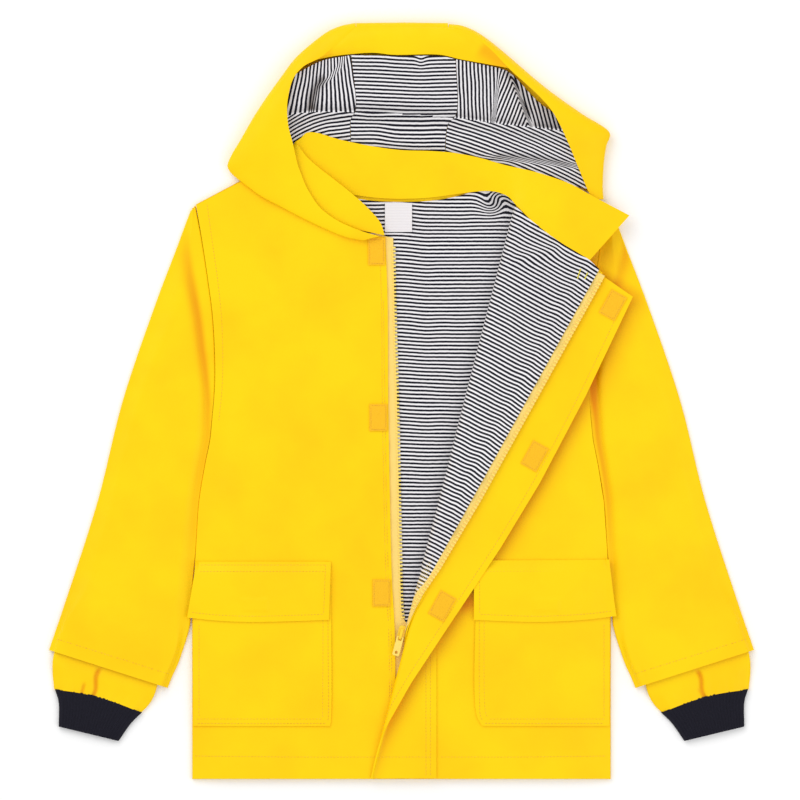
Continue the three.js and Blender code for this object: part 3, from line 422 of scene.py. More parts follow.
def sewing_thread(name, colour):
    """Twisted polyester thread: a soft shine and a fine twist."""
    material, tree = blank(name)
    place = add(tree, "ShaderNodeTexCoord").outputs["Object"]
    twist = add(tree, "ShaderNodeTexNoise", {"Scale": 2600.0, "Detail": 1.0}, Vector=place)
    bump = add(tree, "ShaderNodeBump", {"Strength": 0.4, "Distance": 0.0002}, Height=twist.outputs[0])
    finish(tree, {"Base Color": linear(colour), "Roughness": 0.55, "Sheen Weight": 0.2},
           Normal=bump.outputs[0])
    return material


yellow_thread = sewing_thread("yellow polyester thread", "#F6BC00")
# A darker copy of the thread: painted shade for the stitches round the hook and loop patches.
shaded_thread = sewing_thread("shaded polyester thread", "#E8A000")


def on_front(places, lift=0.1):
    """A run of places on the fronts' outer face."""
    p = line(*places)(np.linspace(0, 1, 90))
    return np.column_stack([p, front_top(p[:, 0], p[:, 1]) + lift])


thread_run("right_front_stitching", [
    on_front([(379.6, 242), (381.4, 300), (382.3, 400), (384, 500), (386, 580), (388.6, 630), (389.4, 690),
              (389.6, 776)]),
    on_front([(383.4, 300), (384.8, 400), (386.4, 500), (388.4, 580), (391.2, 640), (391.6, 776)]),
    on_front([(194, 756), (300, 757), (389, 757)]),
    on_front([(207, 204), (212, 240), (217.6, 280), (221.6, 320), (222.4, 380), (218.6, 424)])],
    yellow_thread)

# Zip: woven polyester tapes with moulded teeth, each sewn under a front edge.
# The right tape lies beside its front; the left one has turned over with the folded front.


def woven_tape(name, colour):
    """Polyester tape: a fine flat weave, matt, a little paler than the cloth."""
    material, tree = blank(name)
    place = add(tree, "ShaderNodeUVMap", {"uv_map": "cut"}).outputs[0]
    weave = add(tree, "ShaderNodeTexChecker", {"Scale": 1000 / 0.8}, Vector=place)
    tint = add(tree, "ShaderNodeMix", {"data_type": "RGBA", 6: linear(colour), 7: linear("#FAD66C")},
               s0=weave.outputs[1])
    bump = add(tree, "ShaderNodeBump", {"Strength": 0.4, "Distance": 0.0003}, Height=weave.outputs[1])
    finish(tree, {"Roughness": 0.8, "Sheen Weight": 0.15}, Base_Color=tint.outputs[2],
           Normal=bump.outputs[0])
    return material


def moulded_plastic(name, colour, low):
    """Acetal, injection moulded: smooth with a slight swirl and a satin shine."""
    material, tree = blank(name)
    place = add(tree, "ShaderNodeTexCoord").outputs["Object"]
    swirl = add(tree, "ShaderNodeTexNoise", {"Scale": 320.0, "Detail": 2.0}, Vector=place)
    tint = add(tree, "ShaderNodeMix", {"data_type": "RGBA", 6: linear(colour), 7: linear(low)},
               s0=swirl.outputs[0])
    bump = add(tree, "ShaderNodeBump", {"Strength": 0.1, "Distance": 0.0002}, Height=swirl.outputs[0])
    finish(tree, {"Roughness": 0.36, "IOR": 1.48}, Base_Color=tint.outputs[2], Normal=bump.outputs[0])
    return material


tape_cloth = woven_tape("woven polyester tape", "#FFDF80")
tooth_plastic = moulded_plastic("moulded acetal teeth", "#FFE680", "#FBDC58")
pull_plastic = moulded_plastic("moulded acetal pull", "#FFE27A", "#FAD850")
slider_plastic = moulded_plastic("moulded acetal slider", "#FFD92E", "#F6CC10")


def teeth(name, run, side_ways, every=3.7):
    """Moulded zip teeth along a line of places: one small waisted block to a tooth."""
    across, along, high = 3.9, 2.0, 1.7
    outline = np.array([(-0.5, -0.42), (0.1, -0.42), (0.28, -0.5), (0.5, -0.36), (0.5, 0.36), (0.28, 0.5),
                        (0.1, 0.42), (-0.5, 0.42)])
    top = np.column_stack([outline * (across, along), np.full(8, high / 2)])
    ring = np.column_stack([outline * (across, along) * 1.04, np.full(8, high * 0.2)])
    block = np.vstack([top * (0.88, 0.8, 1), ring, ring * (1, 1, -1), top * (0.88, 0.8, -1)])
    sides = [(8 * r + n, 8 * (r + 1) + n, 8 * (r + 1) + (n + 1) % 8, 8 * r + (n + 1) % 8)
             for r in range(3) for n in range(8)]
    caps = [tuple(range(8)), tuple(range(31, 23, -1))]
    places, faces = [], []
    length = lengths(run)
    for s in np.arange(every, length[-1] - every, every):
        here, a, b, aside = (np.array([np.interp(q, length, source[:, k]) for k in range(3)])
                             for q, source in ((s, run), (s - 1, run), (s + 1, run), (s, side_ways)))
        here, a, b, aside = (q * (1, -1, 1) for q in (here, a, b, aside))
        way = (b - a) / np.linalg.norm(b - a)
        over = aside - here
        over -= way * (over @ way)
        over /= np.linalg.norm(over)
        turn = np.stack([over, way, np.cross(over, way)])
        base = len(block) * len(places)
        places.append(block @ turn + here + (-SHEET_MIDDLE[0], SHEET_MIDDLE[1], 0))
        faces += [tuple(base + n for n in f) for f in sides + caps]
    mesh = bpy.data.meshes.new(name)
    mesh.from_pydata((np.vstack(places) / 1000).tolist(), [], faces)
    piece = placed(name, mesh)
    bpy.ops.object.mode_set(mode="EDIT")
    bpy.ops.mesh.select_all(action="SELECT")
    bpy.ops.mesh.normals_make_consistent(inside=False)
    bpy.ops.object.mode_set(mode="OBJECT")
    bpy.ops.object.shade_smooth_by_angle(angle=math.radians(30))
    piece.data.materials.append(tooth_plastic)
    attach(piece, "coat")
    return piece


right_tape = patch(
    line((375, 233.6), (393.2, 238)), line((382, 773), (400.8, 773)),
    line((375, 233.6), (377, 400), (379, 600), (382, 773)),
    line((393.2, 238), (395, 330), (397, 400), (399, 500), (400, 560), (401, 600), (402.4, 616),
         (407.6, 626), (408.6, 640), (406, 662), (404.4, 700), (400.8, 773)), 8, 180)
x, y = right_tape[..., 0], right_tape[..., 1]
cloth("right_zip_tape", raised(right_tape, front_top(x, y) - SHELL - 0.4), 0.8, tape_cloth,
      ["zip_tape_right"])
teeth_run = line((393.4, 244), (395.2, 330), (397.2, 400), (399.2, 500), (400.4, 560), (401.4, 600),
                 (402.6, 616), (404.6, 624))
p = teeth_run(np.linspace(0, 1, 160))
p = np.column_stack([p, front_top(p[:, 0], p[:, 1]) - SHELL - 0.2])
teeth("right_zip_teeth", p, p + (3, 0, 0))

# Left front: coated cotton like the right one, turned back along a slanting fold.
# Past the fold its inside faces up; it rolls over with a small round and comes down to lie on itself.
FOLD_X, FOLD_Y, FOLD_ACROSS_X, FOLD_ACROSS_Y = 512, 215, 0.9683, 0.2497
FOLD_RADIUS, FOLD_LIE = 5.0, 6.6


def folded(flat, out):
    """Where a place of the flat cut lies; out is its height over the panel's outer face."""
    x, y = flat[..., 0], flat[..., 1]
    out = np.broadcast_to(out, x.shape)
    off = (x - FOLD_X) * FOLD_ACROSS_X + (y - FOLD_Y) * FOLD_ACROSS_Y
    half = math.pi * FOLD_RADIUS / 2
    turn = np.clip((half - off) / FOLD_RADIUS, 0, math.pi)
    arc = FOLD_RADIUS - out
    past = np.maximum(0, -half - off)
    across = np.where(past > 0, -off, half - arc * np.sin(turn))
    there = np.dstack([x + (across - off) * FOLD_ACROSS_X, y + (across - off) * FOLD_ACROSS_Y])
    rest = np.maximum(0, half - off)
    near = front_top(x + rest * FOLD_ACROSS_X, y + rest * FOLD_ACROSS_Y)
    base = near + (BODY_TOP - near) * ease(turn / math.pi)
    drop = (2 * FOLD_RADIUS - FOLD_LIE) * ease(past / 55)
    high = base + FOLD_RADIUS - arc * np.cos(turn) - drop
    rolled = off < half
    return np.where(rolled[..., None], np.dstack([there, high]), np.dstack([x, y, front_top(x, y) + out]))


def cut_grid(left, right, top, bottom, across, down):
    """A flat cut between two side edges, its rows even from the top edge to the bottom."""
    v = np.linspace(0, 1, down + 1)[:, None]
    u = np.linspace(0, 1, across + 1)[None]
    y = np.interp(300.0, *top) + v * (bottom - np.interp(300.0, *top)) + 0 * u
    for _ in range(4):
        l, r = left(y), right(y)
        x = l + (r - l) * u
        y = np.interp(x, *top) * (1 - v) + bottom * v
    return np.dstack([x, y])


arm_side = np.array([(150, 604), (204, 606.8), *((y, 803.9 - x) for x, y in ARMHOLE), (570, 608.3),
                     (602, 610.3), (779, 610.4)]).T
left_neck = np.array([(404.5, 222), (421.5, 217.6), (440, 215.6), (474, 214), (493, 211), (503, 208.6),
                      (511, 206), (529, 192), (541, 174), (560, 182), (583, 193.6), (607, 206)]).T
flap_edge = np.array([(222, 367), (337, 360), (436, 358), (512, 361), (562, 365), (622, 370), (674, 374),
                      (734, 374.5), (779, 369.4)]).T


# Painted shadow: a mask for the shade beside the turned part's outline, on the cloth it lies over.
def beside_fold(x, y, reach):
    """One along the outline of the turned part and falling to nothing away from it."""
    off = (x - FOLD_X) * FOLD_ACROSS_X + (y - FOLD_Y) * FOLD_ACROSS_Y
    cut_x, cut_y = x - 2 * off * FOLD_ACROSS_X, y - 2 * off * FOLD_ACROSS_Y
    away = np.maximum(np.interp(cut_y, *flap_edge) - cut_x, 0)
    return np.exp(-((away / reach) ** 2)) * ease((off - 2) / 6) * ease((cut_y - 214) / 14)


left_front = cut_grid(lambda y: 404.5 + 0 * y, lambda y: np.interp(y, *arm_side), left_neck, 778.8,
                      110, 215)
x, y = left_front[..., 0], left_front[..., 1]
# Painted shadow: beside the turned part's outline, in the corner where it meets the left pocket's flap, and
# under the collar's end.
corner_shade = 0.6 * np.exp(-((x - 467) ** 2 + (y - 603) ** 2) / 90)
corner_shade += 0.4 * np.exp(-((x - 598) ** 2 + (y - 256) ** 2) / 200)
cloth("left_front_cloth", folded(left_front, 0.0), SHELL, yellow, ["front_left"],
      cut=left_front,
      painted_shade=np.clip(0.5 * beside_fold(x, y, 11) + corner_shade, 0, 1))

# Left front's lining: the same striped jersey, sewn beside the zip and eased a little too full,
# so its stripes ripple along the zip and bunch at the neck.
lining_neck = np.array([(404, 221.4), (421.5, 217), (440, 215), (455, 214.4), (474, 213.4), (493, 210.3),
                        (503, 208), (515, 204.4), (560, 200)]).T


def fold_at(y):
    """Where the fold crosses a level of the sheet."""
    return FOLD_X - (y - FOLD_Y) * FOLD_ACROSS_Y / FOLD_ACROSS_X


LINING_EDGE = 409.4
left_lining = cut_grid(lambda y: LINING_EDGE + 3 * ease((y - 560) / 50),
                       lambda y: np.maximum(fold_at(y) + 34, 452), lining_neck, 766, 76, 230)


def lining_out(x, y):
    """How far the lining's free face stands off the left front, past the fold."""
    ripple = 0.8 * np.sin(y / 3.4 + 1.6 * swell(x, y, 40, 21)) * np.exp(-((x - 412) / 16) ** 2)
    ripple += 0.7 * swell(x, y, 22, 22) + 0.5 * np.sin(y / 9 + x / 5)
    ripple += 1.2 * crease(x, y, [(470, 214), (466, 240), (455, 270)], 6)
    ripple += 1.2 * crease(x, y, [(488, 212), (486, 250)], 5)
    past_fold = ease(((fold_at(y) - x) - 10) / 14)
    return -1.95 - (np.maximum(0, ripple + 0.5) + 1.0 * ease((421 - x) / 4)) * past_fold


x, y = left_lining[..., 0], left_lining[..., 1]
past_fold = ease(((fold_at(y) - x) - 10) / 14)
# Near the zip its stripes kink as the knit is eased into the seam.
near_zip = x - LINING_EDGE
kink = 2.0 * np.exp(-(((near_zip - 14) / 8) ** 2)) * (0.75 + 0.35 * swell(x, y, 45, 23))
kink += 0.5 * swell(x, y, 26, 24) + 1.6 * crease(x, y, [(450, 218), (470, 236), (500, 262)], 7)
cloth("left_front_lining_cloth", folded(left_lining, lining_out(x, y)), JERSEY - 0.2, jersey,
      ["front_left_lining"], cut=np.dstack([x, y + kink * past_fold]))

# Tacks: two short bars of thick yellow thread, sewn through the lining's corner.
# They hold it down beside the zip's top end.
tacks = []
for start, end in (((417.9, 228.4), (417.3, 236.5)), ((425.9, 228.6), (423.9, 239.4))):
    p = line(start, end)(np.linspace(0, 1, 12))
    tacks.append(folded(p[None], lining_out(p[:, 0], p[:, 1])[None] - 0.95)[0])
thread_run("lining_tacks", tacks, sewing_thread("lemon polyester thread", "#EBDC1C"), every=1.5,
           size=(1.7, 1.3, 0.5))

# Left zip tape and teeth: the same tape and teeth, sewn inside the left front's edge.
# They have turned over with it, so the tape's inside and the backs of the teeth face up.
left_tape_edge = np.array([(222, 401.2), (480, 401.2), (560, 403.6), (589, 406.4), (604, 405.4), (622, 404),
                           (648, 407), (662, 403.4), (779, 403.4)]).T
left_tape = cut_grid(lambda y: np.interp(y, *left_tape_edge), lambda y: 416.6 + 0 * y,
                     np.array([(300, 223.4), (500, 223.4)]).T, 773, 10, 230)
cloth("left_zip_tape", folded(left_tape, -1.95), 0.8, tape_cloth, ["zip_tape_left"],
      cut=left_tape)
y = np.linspace(226, 612, 260)
x = np.interp(y, *left_tape_edge) + 1.6
p = folded(np.dstack([x, y]), -3.5)[0]
aside = folded(np.dstack([x - 3, y]), -3.5)[0]
teeth("left_zip_teeth", p, aside)

# Storm flap: a doubled strip of the coated cotton, sewn to the left front beside the zip.
# It wraps over the zip when the coat is closed; here most of it has turned over with the front.
storm = cut_grid(lambda y: np.interp(y, *flap_edge), lambda y: 436.5 + 0 * y,
                 np.array([(367, 228), (436.5, 221)]).T, 778.4, 34, 230)
x, y = storm[..., 0], storm[..., 1]
free = x - np.interp(y, *flap_edge)
edge_dent = 0.25 * np.sin(y / 3.6) * np.exp(-((free - 6) / 5) ** 2) * ease(free / 3)
# Painted shadow where the unturned flap lies beside the turned part's outline.
cloth("storm_flap_cloth", folded(storm, 1.9 + 0.2 * edge_dent), SHELL, yellow, ["storm_flap"],
      cut=storm,
      painted_shade=0.5 * beside_fold(x, y, 11))


def on_cut(places, out):
    """A run of places on the folded front, drawn on the flat cut."""
    p = line(*places)(np.linspace(0, 1, 140))
    return folded(p[None], out)[0]


thread_run("storm_flap_stitching", [
    on_cut([(373, 232), (366.4, 337), (364.4, 436), (367.4, 512), (371.4, 562), (376.4, 622), (380, 674),
            (380.4, 734), (376, 776)], 0.3),
    on_cut([(430.5, 640), (430.5, 700), (430.5, 776)], 2.0),
    on_cut([(426, 660), (426, 700), (426, 776)], 2.0),
    on_front([(440, 757), (520, 757), (608, 756)]),
    on_cut([(371, 757), (400, 757), (434, 757)], 2.0)], yellow_thread)

# Hook and loop: three woven patches of each, hooks on the right front and loops inside the flap.
# Each is sewn on with a row of stitches round its edge.


def hook_and_loop(name, colour, low):
    """Nylon hook and loop tape: matt, in fine rows of hooks or loops about 1.1 mm apart."""
    material, tree = blank(name)
    place = add(tree, "ShaderNodeTexCoord").outputs["Object"]
    rows = add(tree, "ShaderNodeTexVoronoi", {"Scale": 1000 / 1.1}, Vector=place)
    fuzz = add(tree, "ShaderNodeTexNoise", {"Scale": 1500.0, "Detail": 2.0}, Vector=place)
    tint = add(tree, "ShaderNodeMix", {"data_type": "RGBA", 6: linear(colour), 7: linear(low)},
               s0=fuzz.outputs[0])
    bump = add(tree, "ShaderNodeBump", {"Strength": 0.7, "Distance": 0.0005}, Height=rows.outputs[0])
    finish(tree, {"Roughness": 0.85, "Sheen Weight": 0.15, "Sheen Roughness": 0.4},
           Base_Color=tint.outputs[2], Normal=bump.outputs[0])
    return material


hook_nylon = hook_and_loop("nylon hook and loop tape", "#FFC40C", "#F8B804")


def patch_on(x, y, wide, high, across=18, down=27):
    """A flat rectangle of places round its middle."""
    u = (np.linspace(0, 1, across + 1)[None] - 0.5) * wide
    v = (np.linspace(0, 1, down + 1)[:, None] - 0.5) * high
    return np.dstack([x + u + 0 * v, y + v + 0 * u])


def rim_down(flat, drop, within):
    """How far a patch's edge is pressed down by its stitching."""
    x, y = flat[..., 0], flat[..., 1]
    inside = np.minimum(np.minimum(x - x.min(), x.max() - x), np.minimum(y - y.min(), y.max() - y))
    return drop * (1 - ease(inside / within))


def four_sides(x, y, a, b):
    """The sides of a rectangle round a place, one after the other."""
    corners = [(x - a, y - b), (x + a, y - b), (x + a, y + b), (x - a, y + b), (x - a, y - b)]
    return zip(corners, corners[1:])


PATCH_WIDE, PATCH_HIGH, SEAM_IN = 18, 27, 1.6
edge_runs = []
for name, x, y, wide in (("top", 376.6, 251.5, 17), ("middle", 378.4, 417.5, 18), ("low", 381.6, 593, 18)):
    flat = patch_on(x, y, wide, PATCH_HIGH)
    high = front_top(flat[..., 0], flat[..., 1]) + 1.65 - rim_down(flat, 0.5, 3)
    cloth(f"hook_patch_{name}_tape", raised(flat, high), 0.9, hook_nylon, [f"hook_patch_{name}"])
    for start, end in four_sides(x, y, wide / 2 - SEAM_IN, PATCH_HIGH / 2 - SEAM_IN):
        edge_runs.append(on_front([start, end], 1.5))
for name, x, y in (("top", 380, 245), ("middle", 375.5, 415), ("low", 384, 591)):
    flat = patch_on(x, y, PATCH_WIDE, PATCH_HIGH)
    inside = folded(flat, -1.0 + rim_down(flat, 0.5, 3))[:, ::-1]
    cloth(f"loop_patch_{name}_tape", inside, 0.9, hook_nylon, [f"loop_patch_{name}"],
          cut=flat[:, ::-1])
    for start, end in four_sides(x, y, PATCH_WIDE / 2 - SEAM_IN, PATCH_HIGH / 2 - SEAM_IN):
        edge_runs.append(on_cut([start, end], -0.8))
thread_run("patch_stitching", edge_runs, shaded_thread, every=2.4, size=(1.8, 0.45, 0.22))

# Patch pockets: coated cotton, double-stitched round their sides and bottom.
# A stitched flap closes each from above and is held by a patch under it.


def pocket(name, node, flat, seams, flap_node, flap, flap_seams, outside):
    """One pocket with its flap and stitches; outside is the way to its side seam."""
    x, y = flat[..., 0], flat[..., 1]
    edge = rim_down(flat, 0.25, 9)
    high = front_top(x, y) + 0.45 + SHELL + 0.5 * ease((y - 560) / 40) * ease((720 - y) / 40) - edge
    cloth(f"{name}_cloth", raised(flat, high), SHELL, yellow, [node])
    runs = [on_front(run, 1.99) for run in seams]
    for run in runs:
        run[:, 2] += 0.5 * ease((run[:, 1] - 560) / 40) * ease((720 - run[:, 1]) / 40)
    thread_run(f"{name}_stitching", runs, yellow_thread)
    x, y = flap[..., 0], flap[..., 1]
    v = np.linspace(0, 1, flap.shape[0])[:, None]

    def flap_top(x, y, v):
        rest = front_top(np.clip(x, 196, 606), y) + 0.45 + (0.45 + SHELL) * ease(v * 5) + SHELL
        rest = rest + 0.5 * ease(v * 5) + 0.9 * np.sin(np.pi * np.clip(v, 0, 1)) * ease(v * 4)
        over = (202 - x if outside < 0 else x - 601) / 6
        patch_x = 255 if outside < 0 else 546
        # The patch that holds the flap shut shows through it as a low block.
        print_through = 0.7 * ease((8 - np.abs(y - 605)) / 3.5) * ease((15 - np.abs(x - patch_x)) / 3.5)
        return np.maximum(rest, 8.6 * ease(over)) + print_through

    cloth(f"{name}_flap_cloth", raised(flap, flap_top(x, y, v)), SHELL, yellow, [flap_node])
    runs = []
    for places in flap_seams:
        p = line(*places)(np.linspace(0, 1, 90))
        runs.append(np.column_stack([p, flap_top(p[:, 0], p[:, 1], (p[:, 1] - 561.5) / 58.5) + 0.1]))
    thread_run(f"{name}_flap_stitching", runs, yellow_thread)


pocket("right_pocket", "pocket_right",
       patch(line((196.5, 570), (240, 569.5), (331, 569.5)), line((193.2, 726), (330, 726)),
             line((196.5, 570), (193.2, 610), (193.2, 726)), line((331, 569.5), (331, 720), (330, 726)),
             60, 68),
       [[(328, 572), (328, 640), (327.4, 723), (326.5, 723.6)], [(323, 572), (323, 640), (322.6, 719)],
        [(326, 723.4), (260, 723.6), (196, 723.4)], [(322, 719), (260, 719), (196, 719)],
        [(199, 624), (199, 718)]],
       "pocket_flap_right",
       patch(line((196.4, 561.5), (331, 561.5)), line((187, 617.5), (215, 620.5), (250, 622), (329, 620)),
             line((196.4, 561.5), (187, 617.5)), line((331, 561.5), (329, 620)), 100, 44),
       [[(325.6, 564), (323.6, 614)], [(323.6, 614.4), (250, 616.2), (215, 614.8), (190, 612.2)],
        [(200, 565), (326, 565)], [(199, 571.5), (326, 571.5)]], -1)
pocket("left_pocket", "pocket_left",
       patch(line((476.5, 569.5), (560, 569.5), (606.5, 570)), line((482, 726), (609.4, 726)),
             line((476.5, 569.5), (476.5, 715), (482, 726)),
             line((606.5, 570), (609.4, 610), (609.4, 726)), 60, 68),
       [[(479.5, 572), (479.5, 700), (480.5, 716), (484, 723)],
        [(484.5, 572), (484.5, 700), (486, 714), (489, 718.6)],
        [(484, 723.4), (560, 723.6), (606, 723.4)], [(489, 719), (560, 719), (606, 719)],
        [(604, 624), (604, 718)]],
       "pocket_flap_left",
       patch(line((474, 560.5), (609.2, 559.5)), line((474, 620), (540, 622), (588, 619.5), (616.4, 616)),
             line((474, 560.5), (474, 620)), line((609.2, 559.5), (612.6, 588), (616.4, 616)), 100, 44),
       [[(479.6, 564), (479.6, 614)], [(479.8, 614.4), (540, 616.2), (588, 613.8), (612, 611)],
        [(479, 565), (606, 564)], [(479, 571.5), (607, 571)]], 1)

# Sleeves: one piece of coated cotton each, flattened into two walls, with a turned hem.
# A dent runs beside the armhole seam, where the sleeve's fullness starts.


def crowded(count, crowd):
    """Even steps from 0 to 1, drawn closer together near both ends."""
    s = np.linspace(0, 1, count + 1)
    return (s - crowd * np.sin(2 * np.pi * s))[None]


def tube(place, low, high, down, tops, bottoms, edge, crowd=0.0, relief=None, sunk=0.0):
    """A flattened tube: rings of places, over the top, round one side, under and round the other."""
    v = np.linspace(0, 1, down + 1)
    a, b = place(np.zeros(1), v)[:, 0], place(np.ones(1), v)[:, 0]
    wide = np.linalg.norm(b - a, axis=1)[:, None]
    relief = relief or (lambda s: 0 * s)

    def inside(s):
        return edge / wide + (1 - 2 * edge / wide) * s

    def at(s):
        u = inside(s)
        return a[:, None] * (1 - u[..., None]) + b[:, None] * u[..., None] + bend(s, v[:, None])

    def bend(s, v):
        return place.bend(s + 0 * v, v)

    s = crowded(tops, crowd)
    base = low(v)[:, None]
    over = raised(at(s), base + high(s, v[:, None]) + relief(s))
    t = np.linspace(1, 0, bottoms + 1)[None]
    under = raised(at(t), base + sunk - relief(t) + 0 * t)

    def side(which, turns):
        turn = np.array(turns)[None] * np.pi
        p = at(np.full((1, 1), float(which)))
        far = (b if which else a)[:, None] + bend(np.full((1, 1), float(which)), v[:, None])
        out = np.sin(turn)[..., None]
        return raised(p * (1 - out) + far * out, base + edge + np.cos(turn) * edge)

    turns = [0.17, 0.34, 0.5, 0.66, 0.83]
    return np.concatenate([over, side(1, turns), under, side(0, turns[::-1])], axis=1)


def around(rings):
    """The flat cut of a tube: round it across, along it down."""
    step = np.linalg.norm(np.diff(np.concatenate([rings, rings[:, :1]], axis=1), axis=1), axis=2).mean(0)
    across = np.r_[0, np.cumsum(step)[:-1]]
    along = np.r_[0, np.cumsum(np.linalg.norm(np.diff(rings, axis=0), axis=2).mean(1))]
    return np.dstack(np.broadcast_arrays(across[None], along[:, None]))


def between(outer, inner, flip, sag=lambda s, v: 0 * s * v):
    """Places between two side lines; flip is for the wearer's left arm."""
    outer, inner = (line(*(mirrored(rows) if flip else rows)) for rows in (outer, inner))

    def at(u, v):
        return outer(v)[:, None] * (1 - u[None, :, None]) + inner(v)[:, None] * u[None, :, None]

    at.bend = lambda s, v: np.dstack([0 * s + 0 * v, sag(s, v)])
    return at


ARM_EDGE, ARM_RISE, ARM_CROWD = 1.7, 6.2, 0.11
ARM_DOWN, ARM_TOPS = 190, 60
HEM_SEAM = 0.972
arm_outer = [(190.5, 211), (183, 231), (176, 250), (171, 263), (157, 300), (123, 400), (98, 500), (66, 600),
             (49, 650)]
arm_inner = [(195.6, 206), (202.4, 241), (208.4, 280), (213.4, 320), (215.4, 380), (212.4, 420),
             (210.3, 440), (205.3, 465), (199.3, 502), (196, 550), (193.6, 574), (190.8, 610), (190.2, 624),
             (187.4, 636), (182.6, 651), (177.6, 665), (172, 677), (167.6, 688)]
# Each row of a dent: share of the sleeve's length, distance from the armhole seam, depth.
DENTS = {
    "right": np.array([(0, 11, 0), (0.05, 11, 0.4), (0.1, 11, 1.8), (0.2, 10.5, 3), (0.3, 9.5, 3),
                       (0.36, 7, 2.7), (0.41, 4, 2.3), (0.47, 2, 1.8), (0.6, 1.5, 1.3), (0.74, 1.5, 1),
                       (0.82, 2, 0), (1, 2, 0)]),
    "left": np.array([(0, 20, 0.3), (0.05, 19, 1.9), (0.1, 18, 2.3), (0.16, 15, 1.5), (0.22, 8, 1),
                      (0.3, 4, 1.8), (0.36, 3, 3), (0.45, 4, 3), (0.55, 3.5, 2.6), (0.65, 2.5, 2),
                      (0.74, 2, 1.2), (0.82, 2, 0), (1, 2, 0)])}


def dent_at(name, u, v):
    """How deep the dent is at a place of the sleeve, in millimetres."""
    width = 12 + 100 * ease(v * 1.6)
    rows = DENTS[name]
    centre, depth = np.interp(v, rows[:, 0], rows[:, 1]), np.interp(v, rows[:, 0], rows[:, 2])
    off = (1 - u) * width - centre
    return depth * np.exp(-((off / np.where(off > 0, 5.5, 3.4)) ** 2))


def arm_high(name, seed):
    """The rule for how high a sleeve's upper wall lies."""
    def high(u, v):
        width = 12 + 100 * ease(v * 1.6)
        from_sides = np.minimum(u, 1 - u) * width
        at_hem = ease((v - 0.82) / 0.11)
        round_side = ease(from_sides / (16 - 10.5 * at_hem))
        full = 2 * ARM_EDGE + (ARM_RISE + 2.8 * at_hem - 2 * ARM_EDGE) * round_side
        x, y = u * width, v * 480
        soft = ease(from_sides / 10) * ease(v * 12)
        folds = (0.4 * swell(x, y, 40, seed) + 0.2 * swell(x, y, 15, seed + 1)) * soft * ease((1 - v) * 20)
        hem = 0.22 * np.sin(u * 95) * np.exp(-((v - HEM_SEAM) / 0.012) ** 2) * soft
        return np.maximum(2 * ARM_EDGE - 0.6, full - dent_at(name, u, v) + folds + hem)
    return high


for name, flip, seed in (("right", False, 31), ("left", True, 41)):
    place = between(arm_outer, arm_inner, flip)
    rings = tube(place, lambda v: 0 * v, arm_high(name, seed), ARM_DOWN, ARM_TOPS, 20, ARM_EDGE, ARM_CROWD)
    over = slice(0, ARM_TOPS + 1)
    v = np.linspace(0, 1, ARM_DOWN + 1)[:, None]
    # Painted shade: darker in the dent beside the armhole seam; on the wearer's left sleeve also painted
    # shadow beside the turned front and under the collar's end.
    painted_shade = np.zeros(rings.shape[:2])
    painted_shade[:, over] = np.clip(dent_at(name, crowded(ARM_TOPS, ARM_CROWD), v) / 3.2, 0, 1) ** 1.2 * 0.8
    painted_shade[:, over.stop:over.stop + 5] = painted_shade[:, ARM_TOPS:over.stop]
    if flip:
        x, y = rings[:, over, 0], rings[:, over, 1]
        shade = beside_fold(x, y, 15) + 0.7 * np.exp(-((x - 606) ** 2 + (y - 254) ** 2) / 260)
        painted_shade[:, over] = np.clip(painted_shade[:, over] + 0.5 * shade, 0, 1)
        rings, painted_shade = rings[:, ::-1], painted_shade[:, ::-1]
    cloth(f"{name}_sleeve_cloth", rings, SHELL, yellow, [f"sleeve_{name}"],
          cut=around(rings), round_it=True, painted_shade=painted_shade)
    s = np.linspace(0.03, 0.97, 120)
    run = place(s, np.array([HEM_SEAM]))[0]
    high = arm_high(name, seed)(s[None], np.array([[HEM_SEAM]]))[0] + 0.08
    thread_run(f"{name}_sleeve_stitching", [np.column_stack([run, high])], yellow_thread)

# Under-sleeves: short tubes of thinner coated cotton, sewn inside the sleeves' hems.
# Each is gathered into its cuff, so small pleats run down to the seam.
under_outer = [(60, 641), (55, 650), (52.8, 659), (52.6, 672), (54.2, 687.4)]
under_inner = [(160, 673), (157.6, 684), (154.4, 694), (149, 703), (141.2, 710.6)]


def gathers(u, v, flip):
    """The two deeper creases of the gathers, from 0 to 1."""
    deep_at, small_at = (0.5, 0.57) if flip else (0.44, 0.36)
    deep = np.exp(-((u - deep_at - 0.012 * np.sin(9 * v)) / 0.022) ** 2) * ease((v - 0.22) / 0.2)
    small = np.exp(-((u - small_at + 0.05 * v) / 0.018) ** 2) * ease((v - 0.68) / 0.15)
    return np.maximum(deep, 0.7 * small)


def under_high(flip):
    """The rule for how high an under-sleeve's upper wall lies, gathered towards the cuff."""
    def high(u, v):
        soft = ease(np.minimum(u, 1 - u) * 8)
        gather = ease((v - 0.55) / 0.4)
        waves = 0.22 * np.cos(12 * np.pi * u + 0.8) + 0.16 * np.cos(22 * np.pi * u + int(flip))
        full = 3.4 + 2.4 * ease((v - 0.35) / 0.4) * soft + waves * gather * soft
        return full - 2.1 * gathers(u, v, flip) * soft
    return high


